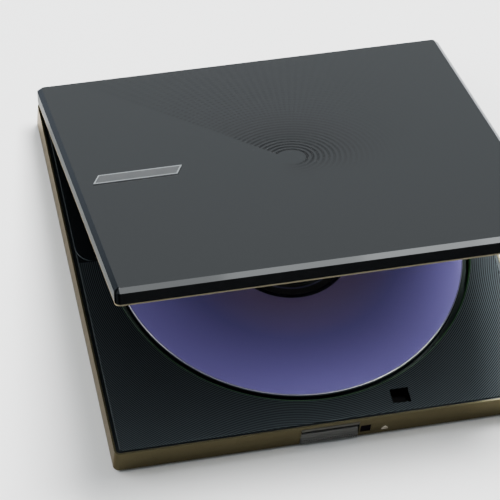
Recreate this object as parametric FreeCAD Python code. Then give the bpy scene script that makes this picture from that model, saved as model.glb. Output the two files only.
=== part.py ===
"""Slim external top-loading optical disc drive, millimetres.

The origin is the centre of the base's footprint on the surface that it stands on. +X points to the
right, +Y to the hinged back edge and +Z up. The lid is stored open at LID_OPEN_ANGLE. Every lid
piece is drawn with the lid shut and then turned about the hinge axis by open_lid().
"""

import FreeCAD, Part
import math
import os

os.makedirs("parts", exist_ok=True)

Vector = FreeCAD.Vector

# Overall case
CASE_WIDTH = 144.0
CASE_DEPTH = 144.0
HALF_WIDTH = CASE_WIDTH / 2
HALF_DEPTH = CASE_DEPTH / 2
FOOT_HEIGHT = 0.6
FOOT_RADIUS = 4.5
FOOT_CENTRES = ((-54.0, -60.0), (54.0, -60.0), (-54.0, 60.0), (54.0, 60.0))
CASE_WALL_HEIGHT = 10.6
CASE_TOP = FOOT_HEIGHT + CASE_WALL_HEIGHT
WALL = 1.4
FLOOR_TOP = FOOT_HEIGHT + 1.4
CORNER_RADIUS = 2.0
BOTTOM_ROUND = 0.8
LIP = 0.6
LEDGE_Z = 10.0

# Deck panel
DECK_GAP = 0.1
DECK_INSET = LIP + DECK_GAP
MARGIN_TOP = 11.1
FIELD_TOP = 11.6
FIELD_INSET_SIDE = 1.7
FIELD_INSET_FRONT = 1.05
FIELD_INSET_BACK = 2.6
FIELD_CORNER = 1.2
FIELD_EDGE_ROUND = 0.3
PLATEAU_EDGE_ROUND = 0.2
PLATEAU_TOP = 11.9
PLATEAU_FRONT_Y = 3.0
PLATEAU_CORNER = 6.0
PLATEAU_EDGE = 2.6
PLATEAU_POCKET_SETBACK = 11.0
PLATEAU_POCKET_DEPTH = 0.3
WELL_RADIUS = 62.0
WELL_WALL = 1.2
WELL_FLOOR_TOP = 8.1
WELL_FLOOR_BOTTOM = 7.1
WELL_CHAMFER = 0.5
TURNTABLE_HOLE_RADIUS = 17.0
SLED_SLOT_HALF_WIDTH = 12.0
SLED_SLOT_REACH = 64.0
LATCH_HOLE_CENTRE = (24.9, -65.2)
LATCH_HOLE_SIZE = (6.2, 5.4)

# Screws, and the bosses and posts that they enter
DECK_BOSSES = ((-64.0, -64.0), (64.0, -64.0), (-64.0, 64.0), (64.0, 64.0), (-28.0, -66.9), (0.0, 67.2))
DECK_BOSS_RADIUS = 2.3
DECK_PILOT_TOP = 9.0
CASE_BOSS_TOP = 4.0
CASE_BOSS_RADIUS = 2.9
SCREW_SHANK_RADIUS = 1.0
SCREW_HEAD_RADIUS = 1.9
SCREW_HEAD_HEIGHT = 1.0
SCREW_HEAD_SEAT = 1.9
SMALL_SHANK_RADIUS = 0.6
BOARD_POSTS = ((-56.0, 37.0), (56.0, 37.0), (-56.0, 64.0), (52.0, 62.0))
BOARD_POST_RADIUS = 1.8
DAMPER_POSTS = ((-58.0, 25.5), (-52.0, -30.0), (16.0, -22.0))
DAMPER_SEAT_RADIUS = 3.0
DAMPER_POST_RADIUS = 1.1
DAMPER_NECK_RADIUS = 1.9
DAMPER_FLANGE_RADIUS = 2.8
DAMPER_BOTTOM = 2.3
DAMPER_TOP = 4.6

# Disc
DISC_X = 1.4
DISC_Y = 0.0
DISC_RADIUS = 60.0
DISC_BORE_RADIUS = 7.5
DISC_THICKNESS = 1.2
DISC_SEAT_Z = 9.5
DISC_GROOVE_RADIUS = 16.9
DISC_GROOVE_WIDTH = 0.6
DISC_GROOVE_DEPTH = 0.15
DISC_EDGE_CHAMFER = 0.15

# Hinge, with its axis along X
HINGE_Y = 72.6
HINGE_Z = 11.8
LID_OPEN_ANGLE = 26.4
KNUCKLE_RADIUS = 1.9
KNUCKLE_CLEARANCE = 0.3
HINGE_CENTRE_X = 50.0
LID_KNUCKLE_HALF = 5.7
CASE_KNUCKLE_INNER = 6.0
CASE_KNUCKLE_OUTER = 10.0
PIN_RADIUS = 0.75
PIN_HALF_LENGTH = 9.6
BUSH_BORE_RADIUS = 0.78
BUSH_RADIUS = 1.15

# Lid, as shut
LID_BOTTOM = CASE_TOP + 0.5
LID_THICKNESS = 5.7
LID_WALL_HEIGHT = 4.4
LID_CHAMFER_WIDTH = 1.5
LID_TOP = LID_BOTTOM + LID_THICKNESS
LID_CORNER_TOP_RADIUS = 0.9
LID_SKIN = 1.6
LID_POST_RADIUS = 1.8
TRIM_HEIGHT = 0.5
TRIM_GROOVE = 0.12
TRIM_INSET = 0.05
TRIM_UPSTAND_INSET = 0.7
LINER_BOTTOM = LID_BOTTOM + 0.9
LINER_THICKNESS = 1.0
LINER_HUB_RECESS_RADIUS = 11.0
LINER_HUB_RECESS_DEPTH = 0.5
BADGE_LENGTH = 28.0
BADGE_HEIGHT = 5.4
BADGE_SLANT = 2.6
BADGE_CENTRE = (-50.6, -0.8)
BADGE_THICKNESS = 0.3
BUMPER_RADIUS = 2.0
BUMPER_CENTRES = ((-62.0, -65.5), (62.0, -65.5))
HOOK_HALF_WIDTH = 2.2
HOOK_FRONT_Y = -64.6
HOOK_BACK_Y = -63.2
HOOK_BARB = 0.9
HOOK_BARB_TOP = 8.7
HOOK_TIP_Z = 8.0

# Front button
BUTTON_HALF_WIDTH = 9.7
BUTTON_GAP = 0.2
BUTTON_BOTTOM = 0.9
BUTTON_TOP = 9.9
BUTTON_BACK_Y = -70.7
BUTTON_TRAVEL = 1.5
BUTTON_FRONT_Y = -HALF_DEPTH - 0.15
RIB_PITCH = 0.8
RIB_WIDTH = 0.42
RIB_DEPTH = 0.25
RIB_TOP = 3.1
BUTTON_ARM_HALF = 3.0
BUTTON_ARM_Z = (2.6, 4.6)
BUTTON_ARM_END = -63.0
BUTTON_LUG_Y = (-64.1, -63.1)
BUTTON_LUG_HALF = 4.6
GUIDE_GAP = 0.2
GUIDE_THICKNESS = 1.0
PUSHER_X = 3.0
PUSHER_RADIUS = 0.6
SPRING_X = 6.9
SPRING_Z = 4.6
SPRING_RADIUS = 1.3
SPRING_BORE_RADIUS = 0.9
SPRING_WALL_Y = (-65.4, -64.4)

# Latch lever, which turns about an upright post
LEVER_PIVOT = (16.5, -66.5)
LEVER_BOTTOM = 8.8
LEVER_TOP = 9.6
LEVER_FRONT_Y = -67.4
LEVER_CATCH_Y = -64.85
LEVER_POST_RADIUS = 1.5
LEVER_PIN_RADIUS = 0.9
LEVER_SPRING_RADIUS = 2.3
LEVER_SPRING_BOTTOM = 7.2

# Indicator and lid switch on the front board
WINDOW_X = (10.4, 14.0)
WINDOW_Z = (3.3, 7.2)
FRONT_BOARD_X = (9.6, 29.4)
FRONT_BOARD_Y = (-68.9, -61.7)
FRONT_BOARD_Z = (2.9, 3.7)
SWITCH_CENTRE = (24.9, -63.9)
SWITCH_TOP = 6.4
PLUNGER_RADIUS = 0.6

# Main board and its parts: centre x, centre y, width, depth and height of each
BOARD_X = (-60.5, 60.5)
BOARD_Y = (33.5, 68.6)
BOARD_BOTTOM = 3.0
BOARD_TOP = 4.0
CHIPS = ((-20.0, 52.0, 14.0, 14.0, 1.5), (18.0, 50.0, 10.0, 10.0, 1.3), (-42.0, 46.0, 9.0, 7.0, 1.6))
SMALL_PARTS = ((34.0, 44.0, 5.0, 3.4, 1.4), (46.0, 50.0, 6.0, 3.5, 1.8), (-34.0, 60.0, 3.2, 1.6, 1.2),
               (-4.0, 60.0, 3.2, 1.6, 1.2), (4.0, 42.0, 2.0, 1.2, 0.9), (-8.0, 42.0, 2.0, 1.2, 0.9),
               (26.0, 58.0, 3.2, 2.6, 1.6))
CONNECTOR_Y = (34.2, 37.6)
CONNECTOR_HEIGHT = 1.3
CONNECTOR_HALF = 6.5
USB_X = 34.0
USB_Z = 5.95
USB_SHELL = (7.6, 8.6, 3.9)
USB_MOUTH = (6.9, 6.6, 3.1)
USB_SETBACK = 0.5
USB_GAP = 0.3

# Traverse plate, rods and sled drive
PLATE_X = (-69.4, 21.0)
PLATE_Y = (-33.5, 29.0)
PLATE_BOTTOM = 3.0
PLATE_TOP = 3.8
PLATE_OPENING_HALF = 14.2
ROD_X = (-68.6, -6.0)
ROD_Y = 19.0
ROD_Z = 5.45
ROD_RADIUS = 1.0
RUNNING_FIT = 0.03
HOLDER_LENGTH = 1.8
HOLDER_TOP = 6.9
SCREW_Y = -25.5
SCREW_Z = 5.8
SCREW_RADIUS = 1.0
SLED_MOTOR_X = (-68.6, -59.6)
SLED_MOTOR_HALF = 3.4
SLED_MOTOR_TOP = 8.2
SLED_MOTOR_ROUND = 1.4
JOURNAL_RADIUS = 0.5
BRACKET_X = (-9.8, -9.0)

# Spindle motor
MOTOR_PLATE_RADIUS = 13.8
MOTOR_BASE_TOP = 4.3
MOTOR_SCREW_REACH = 15.4
MOTOR_SCREW_ANGLES = (0.0, 75.0, -75.0)
SHAFT_RADIUS = 1.0
BEARING_RADIUS = 2.6
BEARING_TOP = 7.0
BEARING_BOTTOM = 3.2
STATOR_Z = (5.2, 6.2)
STATOR_RADIUS = 10.4
STATOR_TEETH = 9
MAGNET_INNER_RADIUS = 11.0
ROTOR_RADIUS = 12.5
ROTOR_SKIRT = 0.5
ROTOR_Z = (4.9, 8.2)
TURNTABLE_RADIUS = 14.5
TURNTABLE_TOP = 9.1
GRIP_INNER_RADIUS = 11.8
GRIP_OUTER_RADIUS = 14.2
HUB_RADIUS = 7.45
HUB_TOP = 12.4
HUB_CHAMFER = 0.9
HUB_DIMPLE_RADIUS = 3.2
BALL_RADIUS = 0.8
BALL_CENTRE_RADIUS = 6.68
BALL_Z = 11.2
BALL_ANGLES = (30.0, 150.0, 270.0)
BALL_POCKET_DEPTH = 1.6
BALL_FIT = 0.05

# Pickup carriage, placed by its lens
LENS_INNER_RADIUS = 23.0
SLED_TRAVEL = 34.5
SLED_X = DISC_X - LENS_INNER_RADIUS
SLED_INNER = 6.0
SLED_OUTER = 10.5
SLED_HALF = 13.0
SLED_BOTTOM = 2.5
SLED_TOP = 6.9
ARM_BOTTOM = 4.2
ARM_REACH = 21.5
ARM_END_PAD = 4.5
POCKET_HALF_X = 5.0
POCKET_HALF_Y = 7.6
POCKET_FLOOR = 4.8
DIODE_RADIUS = 1.5
DIODE_LENGTH = 3.0
DIODE_Y = 9.6
DIODE_Z = 4.8
LENS_HOLDER_HALF = (4.2, 5.3)
LENS_HOLDER_Z = (5.4, 7.5)
LENS_RADIUS = 2.2
LENS_BOTTOM = 6.6
LENS_TOP = 8.2
LENS_DOME_RADIUS = 3.6

# Flat cables
RIBBON_THICKNESS = 0.15
PICKUP_RIBBON_HALF = 5.5
PICKUP_RIBBON_X = SLED_X - 2.0
MOTOR_RIBBON_HALF = 2.5
MOTOR_RIBBON_X = 11.0


def box(x0, x1, y0, y1, z0, z1):
    """A block between two corners."""
    return Part.makeBox(x1 - x0, y1 - y0, z1 - z0, Vector(x0, y0, z0))


def upright(radius, z0, z1, x=0.0, y=0.0):
    """A cylinder that stands on the XY plane."""
    return Part.makeCylinder(radius, z1 - z0, Vector(x, y, z0))


def along_x(radius, x0, x1, y, z):
    """A cylinder along X."""
    return Part.makeCylinder(radius, x1 - x0, Vector(x0, y, z), Vector(1, 0, 0))


def along_y(radius, y0, y1, x, z):
    """A cylinder along Y."""
    return Part.makeCylinder(radius, y1 - y0, Vector(x, y0, z), Vector(0, 1, 0))


def tube(outer, inner, z0, z1, x=0.0, y=0.0):
    """An upright tube."""
    return upright(outer, z0, z1, x, y).cut(upright(inner, z0, z1, x, y))


def join(shapes):
    """One solid from several that touch or overlap."""
    first, *rest = shapes
    return first.fuse(rest).removeSplitter() if rest else first


def rounded_wire(x0, x1, y0, y1, radius, z):
    """A rectangle with round corners, at height z."""
    middle = radius * (1 - math.sqrt(0.5))
    corners = (
        ((x1 - radius, y0), (x1 - middle, y0 + middle), (x1, y0 + radius)),
        ((x1, y1 - radius), (x1 - middle, y1 - middle), (x1 - radius, y1)),
        ((x0 + radius, y1), (x0 + middle, y1 - middle), (x0, y1 - radius)),
        ((x0, y0 + radius), (x0 + middle, y0 + middle), (x0 + radius, y0)),
    )
    edges = []
    for index, corner in enumerate(corners):
        points = [Vector(x, y, z) for x, y in corner]
        edges.append(Part.Arc(*points).toShape())
        following = corners[(index + 1) % len(corners)][0]
        edges.append(Part.LineSegment(points[2], Vector(following[0], following[1], z)).toShape())
    return Part.Wire(edges)


def rounded_block(x0, x1, y0, y1, z0, z1, radius):
    """An upright prism over a rectangle with round corners."""
    face = Part.Face(rounded_wire(x0, x1, y0, y1, radius, z0))
    return face.extrude(Vector(0, 0, z1 - z0))


def case_block(inset, z0, z1, radius):
    """A rounded block that follows the case's outline, set in from it."""
    x = HALF_WIDTH - inset
    y = HALF_DEPTH - inset
    return rounded_block(-x, x, -y, y, z0, z1, radius)


def round_top(block, top, radius):
    """The block with the edges of its top face rounded."""
    return block.makeFillet(radius, [e for e in block.Edges if e.BoundBox.ZMin > top - 0.01])


def prism(points, z0, z1):
    """An upright prism over a polygon of (x, y) points."""
    corners = [Vector(x, y, z0) for x, y in points]
    return Part.Face(Part.makePolygon(corners + corners[:1])).extrude(Vector(0, 0, z1 - z0))


def profile_prism(points, x0, x1):
    """A prism along X over a polygon of (y, z) points."""
    corners = [Vector(x0, y, z) for y, z in points]
    return Part.Face(Part.makePolygon(corners + corners[:1])).extrude(Vector(x1 - x0, 0, 0))


def hinge_cylinder(radius, x0, x1):
    """A cylinder on the hinge axis."""
    return along_x(radius, x0, x1, HINGE_Y, HINGE_Z)


def hinge_spans(inner, outer):
    """The X spans from inner to outer on each side of both hinges' centres."""
    spans = []
    for centre in (-HINGE_CENTRE_X, HINGE_CENTRE_X):
        spans.append((centre - outer, centre - inner))
        spans.append((centre + inner, centre + outer))
    return spans


def lid_knuckle_spans(extra=0.0):
    """The X spans of the lid's two knuckles."""
    half = LID_KNUCKLE_HALF + extra
    return [(centre - half, centre + half) for centre in (-HINGE_CENTRE_X, HINGE_CENTRE_X)]


def open_lid(shape):
    """The shape turned from the shut to the stored open position."""
    turned = shape.copy()
    turned.rotate(Vector(0, HINGE_Y, HINGE_Z), Vector(-1, 0, 0), LID_OPEN_ANGLE)
    return turned


def disc_axis(radius, z0, z1):
    """An upright cylinder on the disc's axis."""
    return upright(radius, z0, z1, DISC_X, DISC_Y)


def disc_tube(outer, inner, z0, z1):
    """An upright tube on the disc's axis."""
    return tube(outer, inner, z0, z1, DISC_X, DISC_Y)


def save(name, shapes):
    """Write one node, made of one solid or a group of separate ones."""
    solids = [solid for shape in shapes for solid in shape.Solids]
    whole = solids[0] if len(solids) == 1 else Part.makeCompound(solids)
    broken = [index for index, solid in enumerate(solids) if not solid.isValid()]
    if broken:
        print("invalid solids in", name, broken)
    whole.exportStep(f"parts/{name}.step")
    print(f"{name}: {len(solids)} solids, {whole.Volume:.1f} mm3")


# Base case


def base_shell():
    """The moulded bottom case: floor, walls with a lip, posts, guides and the case's knuckles."""
    outer = case_block(0.0, FOOT_HEIGHT, CASE_TOP, CORNER_RADIUS)
    bottom_edges = [e for e in outer.Edges if e.BoundBox.ZMax < FOOT_HEIGHT + 0.01]
    shell = outer.makeFillet(BOTTOM_ROUND, bottom_edges)
    shell = shell.cut(case_block(WALL, FLOOR_TOP, CASE_TOP + 1, CORNER_RADIUS - 1.0))
    shell = shell.cut(case_block(LIP, LEDGE_Z, CASE_TOP + 1, CORNER_RADIUS - LIP))
    shell = shell.cut(front_openings())
    shell = shell.cut(usb_opening())
    shell = join([shell] + case_posts() + latch_supports() + case_knuckles())
    shell = shell.cut(case_holes())
    return shell.cut([hinge_cylinder(KNUCKLE_RADIUS + KNUCKLE_CLEARANCE, *span)
                      for span in lid_knuckle_spans(KNUCKLE_CLEARANCE)])


def front_openings():
    """The cut-outs in the front wall for the button and the indicator window."""
    half = BUTTON_HALF_WIDTH + BUTTON_GAP
    behind_wall = -HALF_DEPTH + WALL
    travel_room = BUTTON_BACK_Y + BUTTON_TRAVEL + BUTTON_GAP
    front = -HALF_DEPTH - 1
    button = box(-half, half, front, behind_wall, 0, BUTTON_TOP + BUTTON_GAP)
    toe = box(-half, half, front, travel_room, 0, FLOOR_TOP)
    window = box(*WINDOW_X, front, behind_wall, *WINDOW_Z)
    return [button, toe, window]


def usb_opening():
    """The cut-out in the back wall round the cable port."""
    half_width = USB_SHELL[0] / 2 + USB_GAP
    half_height = USB_SHELL[2] / 2 + USB_GAP
    back = HALF_DEPTH + 1
    return [box(USB_X - half_width, USB_X + half_width, HALF_DEPTH - WALL, back,
                USB_Z - half_height, USB_Z + half_height)]


def case_posts():
    """The screw bosses, the board's posts and the damper posts that stand on the floor."""
    start = FLOOR_TOP - 0.2
    posts = [upright(CASE_BOSS_RADIUS, start, CASE_BOSS_TOP, x, y) for x, y in DECK_BOSSES]
    posts += [upright(BOARD_POST_RADIUS, start, BOARD_BOTTOM, x, y) for x, y in BOARD_POSTS]
    posts += [upright(DAMPER_SEAT_RADIUS, start, DAMPER_BOTTOM, x, y) for x, y in DAMPER_POSTS]
    posts += [upright(DAMPER_POST_RADIUS, start, DAMPER_TOP, x, y) for x, y in DAMPER_POSTS]
    return posts


def case_holes():
    """The holes for every screw that enters the case."""
    holes = []
    for x, y in DECK_BOSSES:
        holes.append(upright(SCREW_HEAD_RADIUS + 0.3, 0, SCREW_HEAD_SEAT, x, y))
        holes.append(upright(SCREW_SHANK_RADIUS + 0.15, 0, CASE_BOSS_TOP + 1, x, y))
    for x, y in BOARD_POSTS:
        holes.append(upright(SMALL_SHANK_RADIUS, FLOOR_TOP - 0.8, BOARD_TOP, x, y))
    for x, y in DAMPER_POSTS:
        holes.append(upright(SMALL_SHANK_RADIUS, FLOOR_TOP, DAMPER_TOP + 1, x, y))
    return holes


def latch_supports():
    """The button's guide ribs and spring walls, the front board's ribs and the lever's pivot post."""
    start = FLOOR_TOP - 0.2
    inner = BUTTON_ARM_HALF + GUIDE_GAP
    rib_end = BUTTON_LUG_Y[0] - GUIDE_GAP / 2
    supports = []
    for side in (-1, 1):
        x_pair = sorted((side * inner, side * (inner + GUIDE_THICKNESS)))
        supports.append(box(*x_pair, -69.0, rib_end, start, BUTTON_ARM_Z[1] + 1.0))
        x_pair = sorted((side * (inner + 0.8), side * (SPRING_X + 1.6)))
        supports.append(box(*x_pair, *SPRING_WALL_Y, start, SPRING_Z + 1.8))
    for y in (-68.7, -63.0):
        supports.append(box(FRONT_BOARD_X[0] + 9.0, FRONT_BOARD_X[1] - 0.4, y, y + 0.8,
                            start, FRONT_BOARD_Z[0]))
    supports.append(upright(LEVER_POST_RADIUS, start, LEVER_BOTTOM - 0.1, *LEVER_PIVOT))
    supports.append(upright(LEVER_PIN_RADIUS, start, LEVER_TOP + 0.2, *LEVER_PIVOT))
    return supports


def case_knuckles():
    """The case's four hinge knuckles, each with the pin's hole."""
    knuckles = []
    web_low = HINGE_Z - KNUCKLE_RADIUS
    for x0, x1 in hinge_spans(CASE_KNUCKLE_INNER, CASE_KNUCKLE_OUTER):
        web = box(x0, x1, HALF_DEPTH - WALL, HINGE_Y, web_low, CASE_TOP)
        knuckle = join([hinge_cylinder(KNUCKLE_RADIUS, x0, x1), web])
        knuckles.append(knuckle.cut(hinge_cylinder(PIN_RADIUS, x0 - 1, x1 + 1)))
    return knuckles


def deck_panel():
    """The black deck: margin, raised field, back plateau, disc well and screw bosses."""
    panel = case_block(DECK_INSET, LEDGE_Z, MARGIN_TOP, CORNER_RADIUS - DECK_INSET)
    x = HALF_WIDTH - FIELD_INSET_SIDE
    front = -HALF_DEPTH + FIELD_INSET_FRONT
    back = HALF_DEPTH - FIELD_INSET_BACK
    field = rounded_block(-x, x, front, back, MARGIN_TOP - 0.5, FIELD_TOP, FIELD_CORNER)
    field = round_top(field, FIELD_TOP, FIELD_EDGE_ROUND)
    well_tub = disc_axis(WELL_RADIUS + WELL_WALL, WELL_FLOOR_BOTTOM, LEDGE_Z + 0.2)
    bosses = [upright(DECK_BOSS_RADIUS, CASE_BOSS_TOP, LEDGE_Z + 0.2, bx, by) for bx, by in DECK_BOSSES]
    panel = join([panel, field, plateau(x, back), well_tub] + bosses)
    return panel.cut(deck_cuts())


def plateau(half_width, back):
    """The smooth raised pad across the back of the deck, with its shallow pocket."""
    low = FIELD_TOP - 0.3
    pad = rounded_block(-half_width, half_width, PLATEAU_FRONT_Y, back, low, PLATEAU_TOP, PLATEAU_CORNER)
    pad = round_top(pad, PLATEAU_TOP, PLATEAU_EDGE_ROUND)
    inner = half_width - PLATEAU_EDGE
    pocket = rounded_block(-inner, inner, PLATEAU_FRONT_Y + PLATEAU_POCKET_SETBACK, back - PLATEAU_EDGE,
                           PLATEAU_TOP - PLATEAU_POCKET_DEPTH, PLATEAU_TOP + 1, PLATEAU_CORNER - 2.0)
    return pad.cut(pocket)


def deck_cuts():
    """Everything that is open in the deck."""
    well = disc_axis(WELL_RADIUS, WELL_FLOOR_TOP, PLATEAU_TOP + 1)
    lead_in = Part.makeCone(WELL_RADIUS, WELL_RADIUS + 2 * WELL_CHAMFER, 2 * WELL_CHAMFER,
                            Vector(DISC_X, DISC_Y, FIELD_TOP - WELL_CHAMFER))
    hole = disc_axis(TURNTABLE_HOLE_RADIUS, WELL_FLOOR_BOTTOM - 1, WELL_FLOOR_TOP + 1)
    slot = box(DISC_X - SLED_SLOT_REACH, DISC_X, -SLED_SLOT_HALF_WIDTH, SLED_SLOT_HALF_WIDTH,
               WELL_FLOOR_BOTTOM - 1, WELL_FLOOR_TOP)
    latch = centred_box(LATCH_HOLE_CENTRE, LATCH_HOLE_SIZE, WELL_FLOOR_BOTTOM, PLATEAU_TOP + 1)
    pilots = [upright(SCREW_SHANK_RADIUS, CASE_BOSS_TOP - 1, DECK_PILOT_TOP, x, y) for x, y in DECK_BOSSES]
    outer = CASE_KNUCKLE_OUTER + KNUCKLE_CLEARANCE
    web_room = HALF_DEPTH - WALL - DECK_GAP
    notches = []
    for centre in (-HINGE_CENTRE_X, HINGE_CENTRE_X):
        notches.append(hinge_cylinder(KNUCKLE_RADIUS + KNUCKLE_CLEARANCE, centre - outer, centre + outer))
        notches.append(box(centre - outer, centre + outer, web_room, HALF_DEPTH, LEDGE_Z - 1, PLATEAU_TOP))
    return [well, lead_in, hole, slot, latch] + pilots + notches


def centred_box(centre, size, z0, z1):
    """A block round a centre in plan."""
    return box(centre[0] - size[0] / 2, centre[0] + size[0] / 2,
               centre[1] - size[1] / 2, centre[1] + size[1] / 2, z0, z1)


def rubber_feet():
    """Four round pads under the case."""
    return [upright(FOOT_RADIUS, 0, FOOT_HEIGHT, x, y) for x, y in FOOT_CENTRES]


def headed_screw(x, y, head_radius, head_z0, head_z1, shank_radius, shank_z0, shank_z1):
    """An upright screw with a plain shank and a cross recess in the outer end of its head."""
    head = upright(head_radius, head_z0, head_z1, x, y)
    shank = upright(shank_radius, shank_z0, shank_z1, x, y)
    long_half = head_radius * 0.6
    short_half = head_radius * 0.14
    depth = (head_z1 - head_z0) * 0.5
    below = head_z0 < shank_z0
    z0, z1 = (head_z0 - 1, head_z0 + depth) if below else (head_z1 - depth, head_z1 + 1)
    recess = [box(x - long_half, x + long_half, y - short_half, y + short_half, z0, z1),
              box(x - short_half, x + short_half, y - long_half, y + long_half, z0, z1)]
    return join([head, shank]).cut(recess)


def case_screws():
    """The screws that pull the deck down on the case, from below."""
    return [headed_screw(x, y, SCREW_HEAD_RADIUS, SCREW_HEAD_SEAT - SCREW_HEAD_HEIGHT, SCREW_HEAD_SEAT,
                         SCREW_SHANK_RADIUS - 0.02, SCREW_HEAD_SEAT, DECK_PILOT_TOP - 0.5)
            for x, y in DECK_BOSSES]


# Boards and ports


def main_board():
    """The main circuit board along the back of the case."""
    board = box(*BOARD_X, *BOARD_Y, BOARD_BOTTOM, BOARD_TOP)
    holes = [upright(SMALL_SHANK_RADIUS + 0.2, BOARD_BOTTOM, BOARD_TOP, x, y) for x, y in BOARD_POSTS]
    boss = DECK_BOSSES[-1]
    notch = box(boss[0] - 3.4, boss[0] + 3.4, boss[1] - 3.4, 70, BOARD_BOTTOM, BOARD_TOP)
    return board.cut(holes + [notch])


def board_screws():
    """The board's four screws."""
    return [headed_screw(x, y, 1.6, BOARD_TOP, BOARD_TOP + 0.8, SMALL_SHANK_RADIUS,
                         FLOOR_TOP - 0.6, BOARD_TOP) for x, y in BOARD_POSTS]


def on_board(items):
    """Blocks that stand on the main board."""
    return [centred_box((x, y), (w, d), BOARD_TOP, BOARD_TOP + h) for x, y, w, d, h in items]


def ribbon_connectors():
    """The two flat-cable connectors at the board's front edge."""
    return [box(x - CONNECTOR_HALF, x + CONNECTOR_HALF, *CONNECTOR_Y, BOARD_TOP, BOARD_TOP + CONNECTOR_HEIGHT)
            for x in (PICKUP_RIBBON_X, MOTOR_RIBBON_X)]


def usb_port():
    """The steel shell of the cable port."""
    width, length, height = USB_SHELL
    back = HALF_DEPTH - USB_SETBACK
    z0 = USB_Z - height / 2
    shell = box(USB_X - width / 2, USB_X + width / 2, back - length, back, z0, z0 + height)
    mouth_width, mouth_depth, mouth_height = USB_MOUTH
    mouth = box(USB_X - mouth_width / 2, USB_X + mouth_width / 2, back - mouth_depth, back + 1,
                USB_Z - mouth_height / 2, USB_Z + mouth_height / 2)
    return shell.cut(mouth)


def usb_tongue():
    """The contact tongue inside the port."""
    back = HALF_DEPTH - USB_SETBACK
    root = back - USB_MOUTH[1]
    return box(USB_X - 2.2, USB_X + 2.2, root, back - 1.2, USB_Z - 0.4, USB_Z + 0.4)


def led_window():
    """The smoked indicator window in the front wall, with its light pipe behind."""
    gap = 0.06
    pane = box(WINDOW_X[0] + gap, WINDOW_X[1] - gap, -HALF_DEPTH + 0.1, -HALF_DEPTH + WALL + 0.3,
               WINDOW_Z[0] + gap, WINDOW_Z[1] - gap)
    pipe = box(11.2, 13.2, -HALF_DEPTH + WALL + 0.3, -67.4, 4.0, 5.6)
    return join([pane, pipe])


def front_board():
    """The small board behind the front wall, which holds the indicator and the lid switch."""
    board = box(*FRONT_BOARD_X, *FRONT_BOARD_Y, *FRONT_BOARD_Z)
    return board.cut(upright(LEVER_POST_RADIUS + 0.4, 0, 10, *LEVER_PIVOT))


def indicator_led():
    """The indicator's light source, on the front board behind the light pipe."""
    return box(11.4, 13.0, -67.3, -66.1, FRONT_BOARD_Z[1], FRONT_BOARD_Z[1] + 1.6)


def lid_switch():
    """The lid switch's body, under the latch hole."""
    x, y = SWITCH_CENTRE
    body = box(x - 2.0, x + 2.0, y - 1.5, y + 1.5, FRONT_BOARD_Z[1], SWITCH_TOP)
    return body.cut(upright(PLUNGER_RADIUS + 0.05, FRONT_BOARD_Z[1] + 0.7, SWITCH_TOP + 1, x, y))


def switch_plunger():
    """The lid switch's plunger, whose end stops just short of the shut lid's hook."""
    return upright(PLUNGER_RADIUS, FRONT_BOARD_Z[1] + 1.4, HOOK_TIP_Z - 0.15, *SWITCH_CENTRE)


# Front button and latch


def eject_button():
    """The push button: ribbed face, guide arm with its lugs, and the pusher that works the lever."""
    front = -HALF_DEPTH
    proud = BUTTON_FRONT_Y
    face = profile_prism(
        (
            (BUTTON_BACK_Y, BUTTON_BOTTOM),
            (front + 0.3, BUTTON_BOTTOM),
            (proud, BUTTON_BOTTOM + 0.4),
            (proud, 3.2),
            (front + 0.35, 4.0),
            (front + 0.5, 5.3),
            (front + 0.3, 6.6),
            (front - 0.1, 7.3),
            (front + 0.1, 7.5),
            (front + 0.8, 7.6),
            (front + 0.8, 8.2),
            (front, 8.4),
            (front, BUTTON_TOP - 0.2),
            (front + 0.2, BUTTON_TOP),
            (BUTTON_BACK_Y, BUTTON_TOP),
        ),
        -BUTTON_HALF_WIDTH,
        BUTTON_HALF_WIDTH,
    )
    arm = box(-BUTTON_ARM_HALF, BUTTON_ARM_HALF, BUTTON_BACK_Y - 0.2, BUTTON_ARM_END, *BUTTON_ARM_Z)
    lugs = box(-BUTTON_LUG_HALF, BUTTON_LUG_HALF, *BUTTON_LUG_Y, *BUTTON_ARM_Z)
    return join([face, arm, lugs] + pusher() + button_ribs())


def pusher():
    """The round-nosed rib behind the button that bears on the lever's end."""
    nose_y = LEVER_FRONT_Y - 0.05 - PUSHER_RADIUS
    heights = (LEVER_BOTTOM - 0.1, LEVER_TOP + 0.1)
    rib = box(PUSHER_X - PUSHER_RADIUS, PUSHER_X + PUSHER_RADIUS, BUTTON_BACK_Y - 0.2, nose_y, *heights)
    return [rib, upright(PUSHER_RADIUS, *heights, PUSHER_X, nose_y)]


def button_ribs():
    """The fine upright ribs along the face's lower edge."""
    depths = (BUTTON_FRONT_Y - RIB_DEPTH, BUTTON_FRONT_Y + 0.1)
    heights = (BUTTON_BOTTOM + 0.5, RIB_TOP)
    count = int((2 * BUTTON_HALF_WIDTH - RIB_WIDTH) / RIB_PITCH) + 1
    first = -(count - 1) * RIB_PITCH / 2
    ribs = []
    for index in range(count):
        x = first + index * RIB_PITCH
        ribs.append(box(x - RIB_WIDTH / 2, x + RIB_WIDTH / 2, *depths, *heights))
    return ribs


def button_springs():
    """The two springs behind the button, which touch neither it nor their wall."""
    touch = 0.02
    return [along_y(SPRING_RADIUS, BUTTON_BACK_Y + touch, SPRING_WALL_Y[0] - touch, side * SPRING_X, SPRING_Z)
            .cut(along_y(SPRING_BORE_RADIUS, BUTTON_BACK_Y, SPRING_WALL_Y[0], side * SPRING_X, SPRING_Z))
            for side in (-1, 1)]


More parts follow.
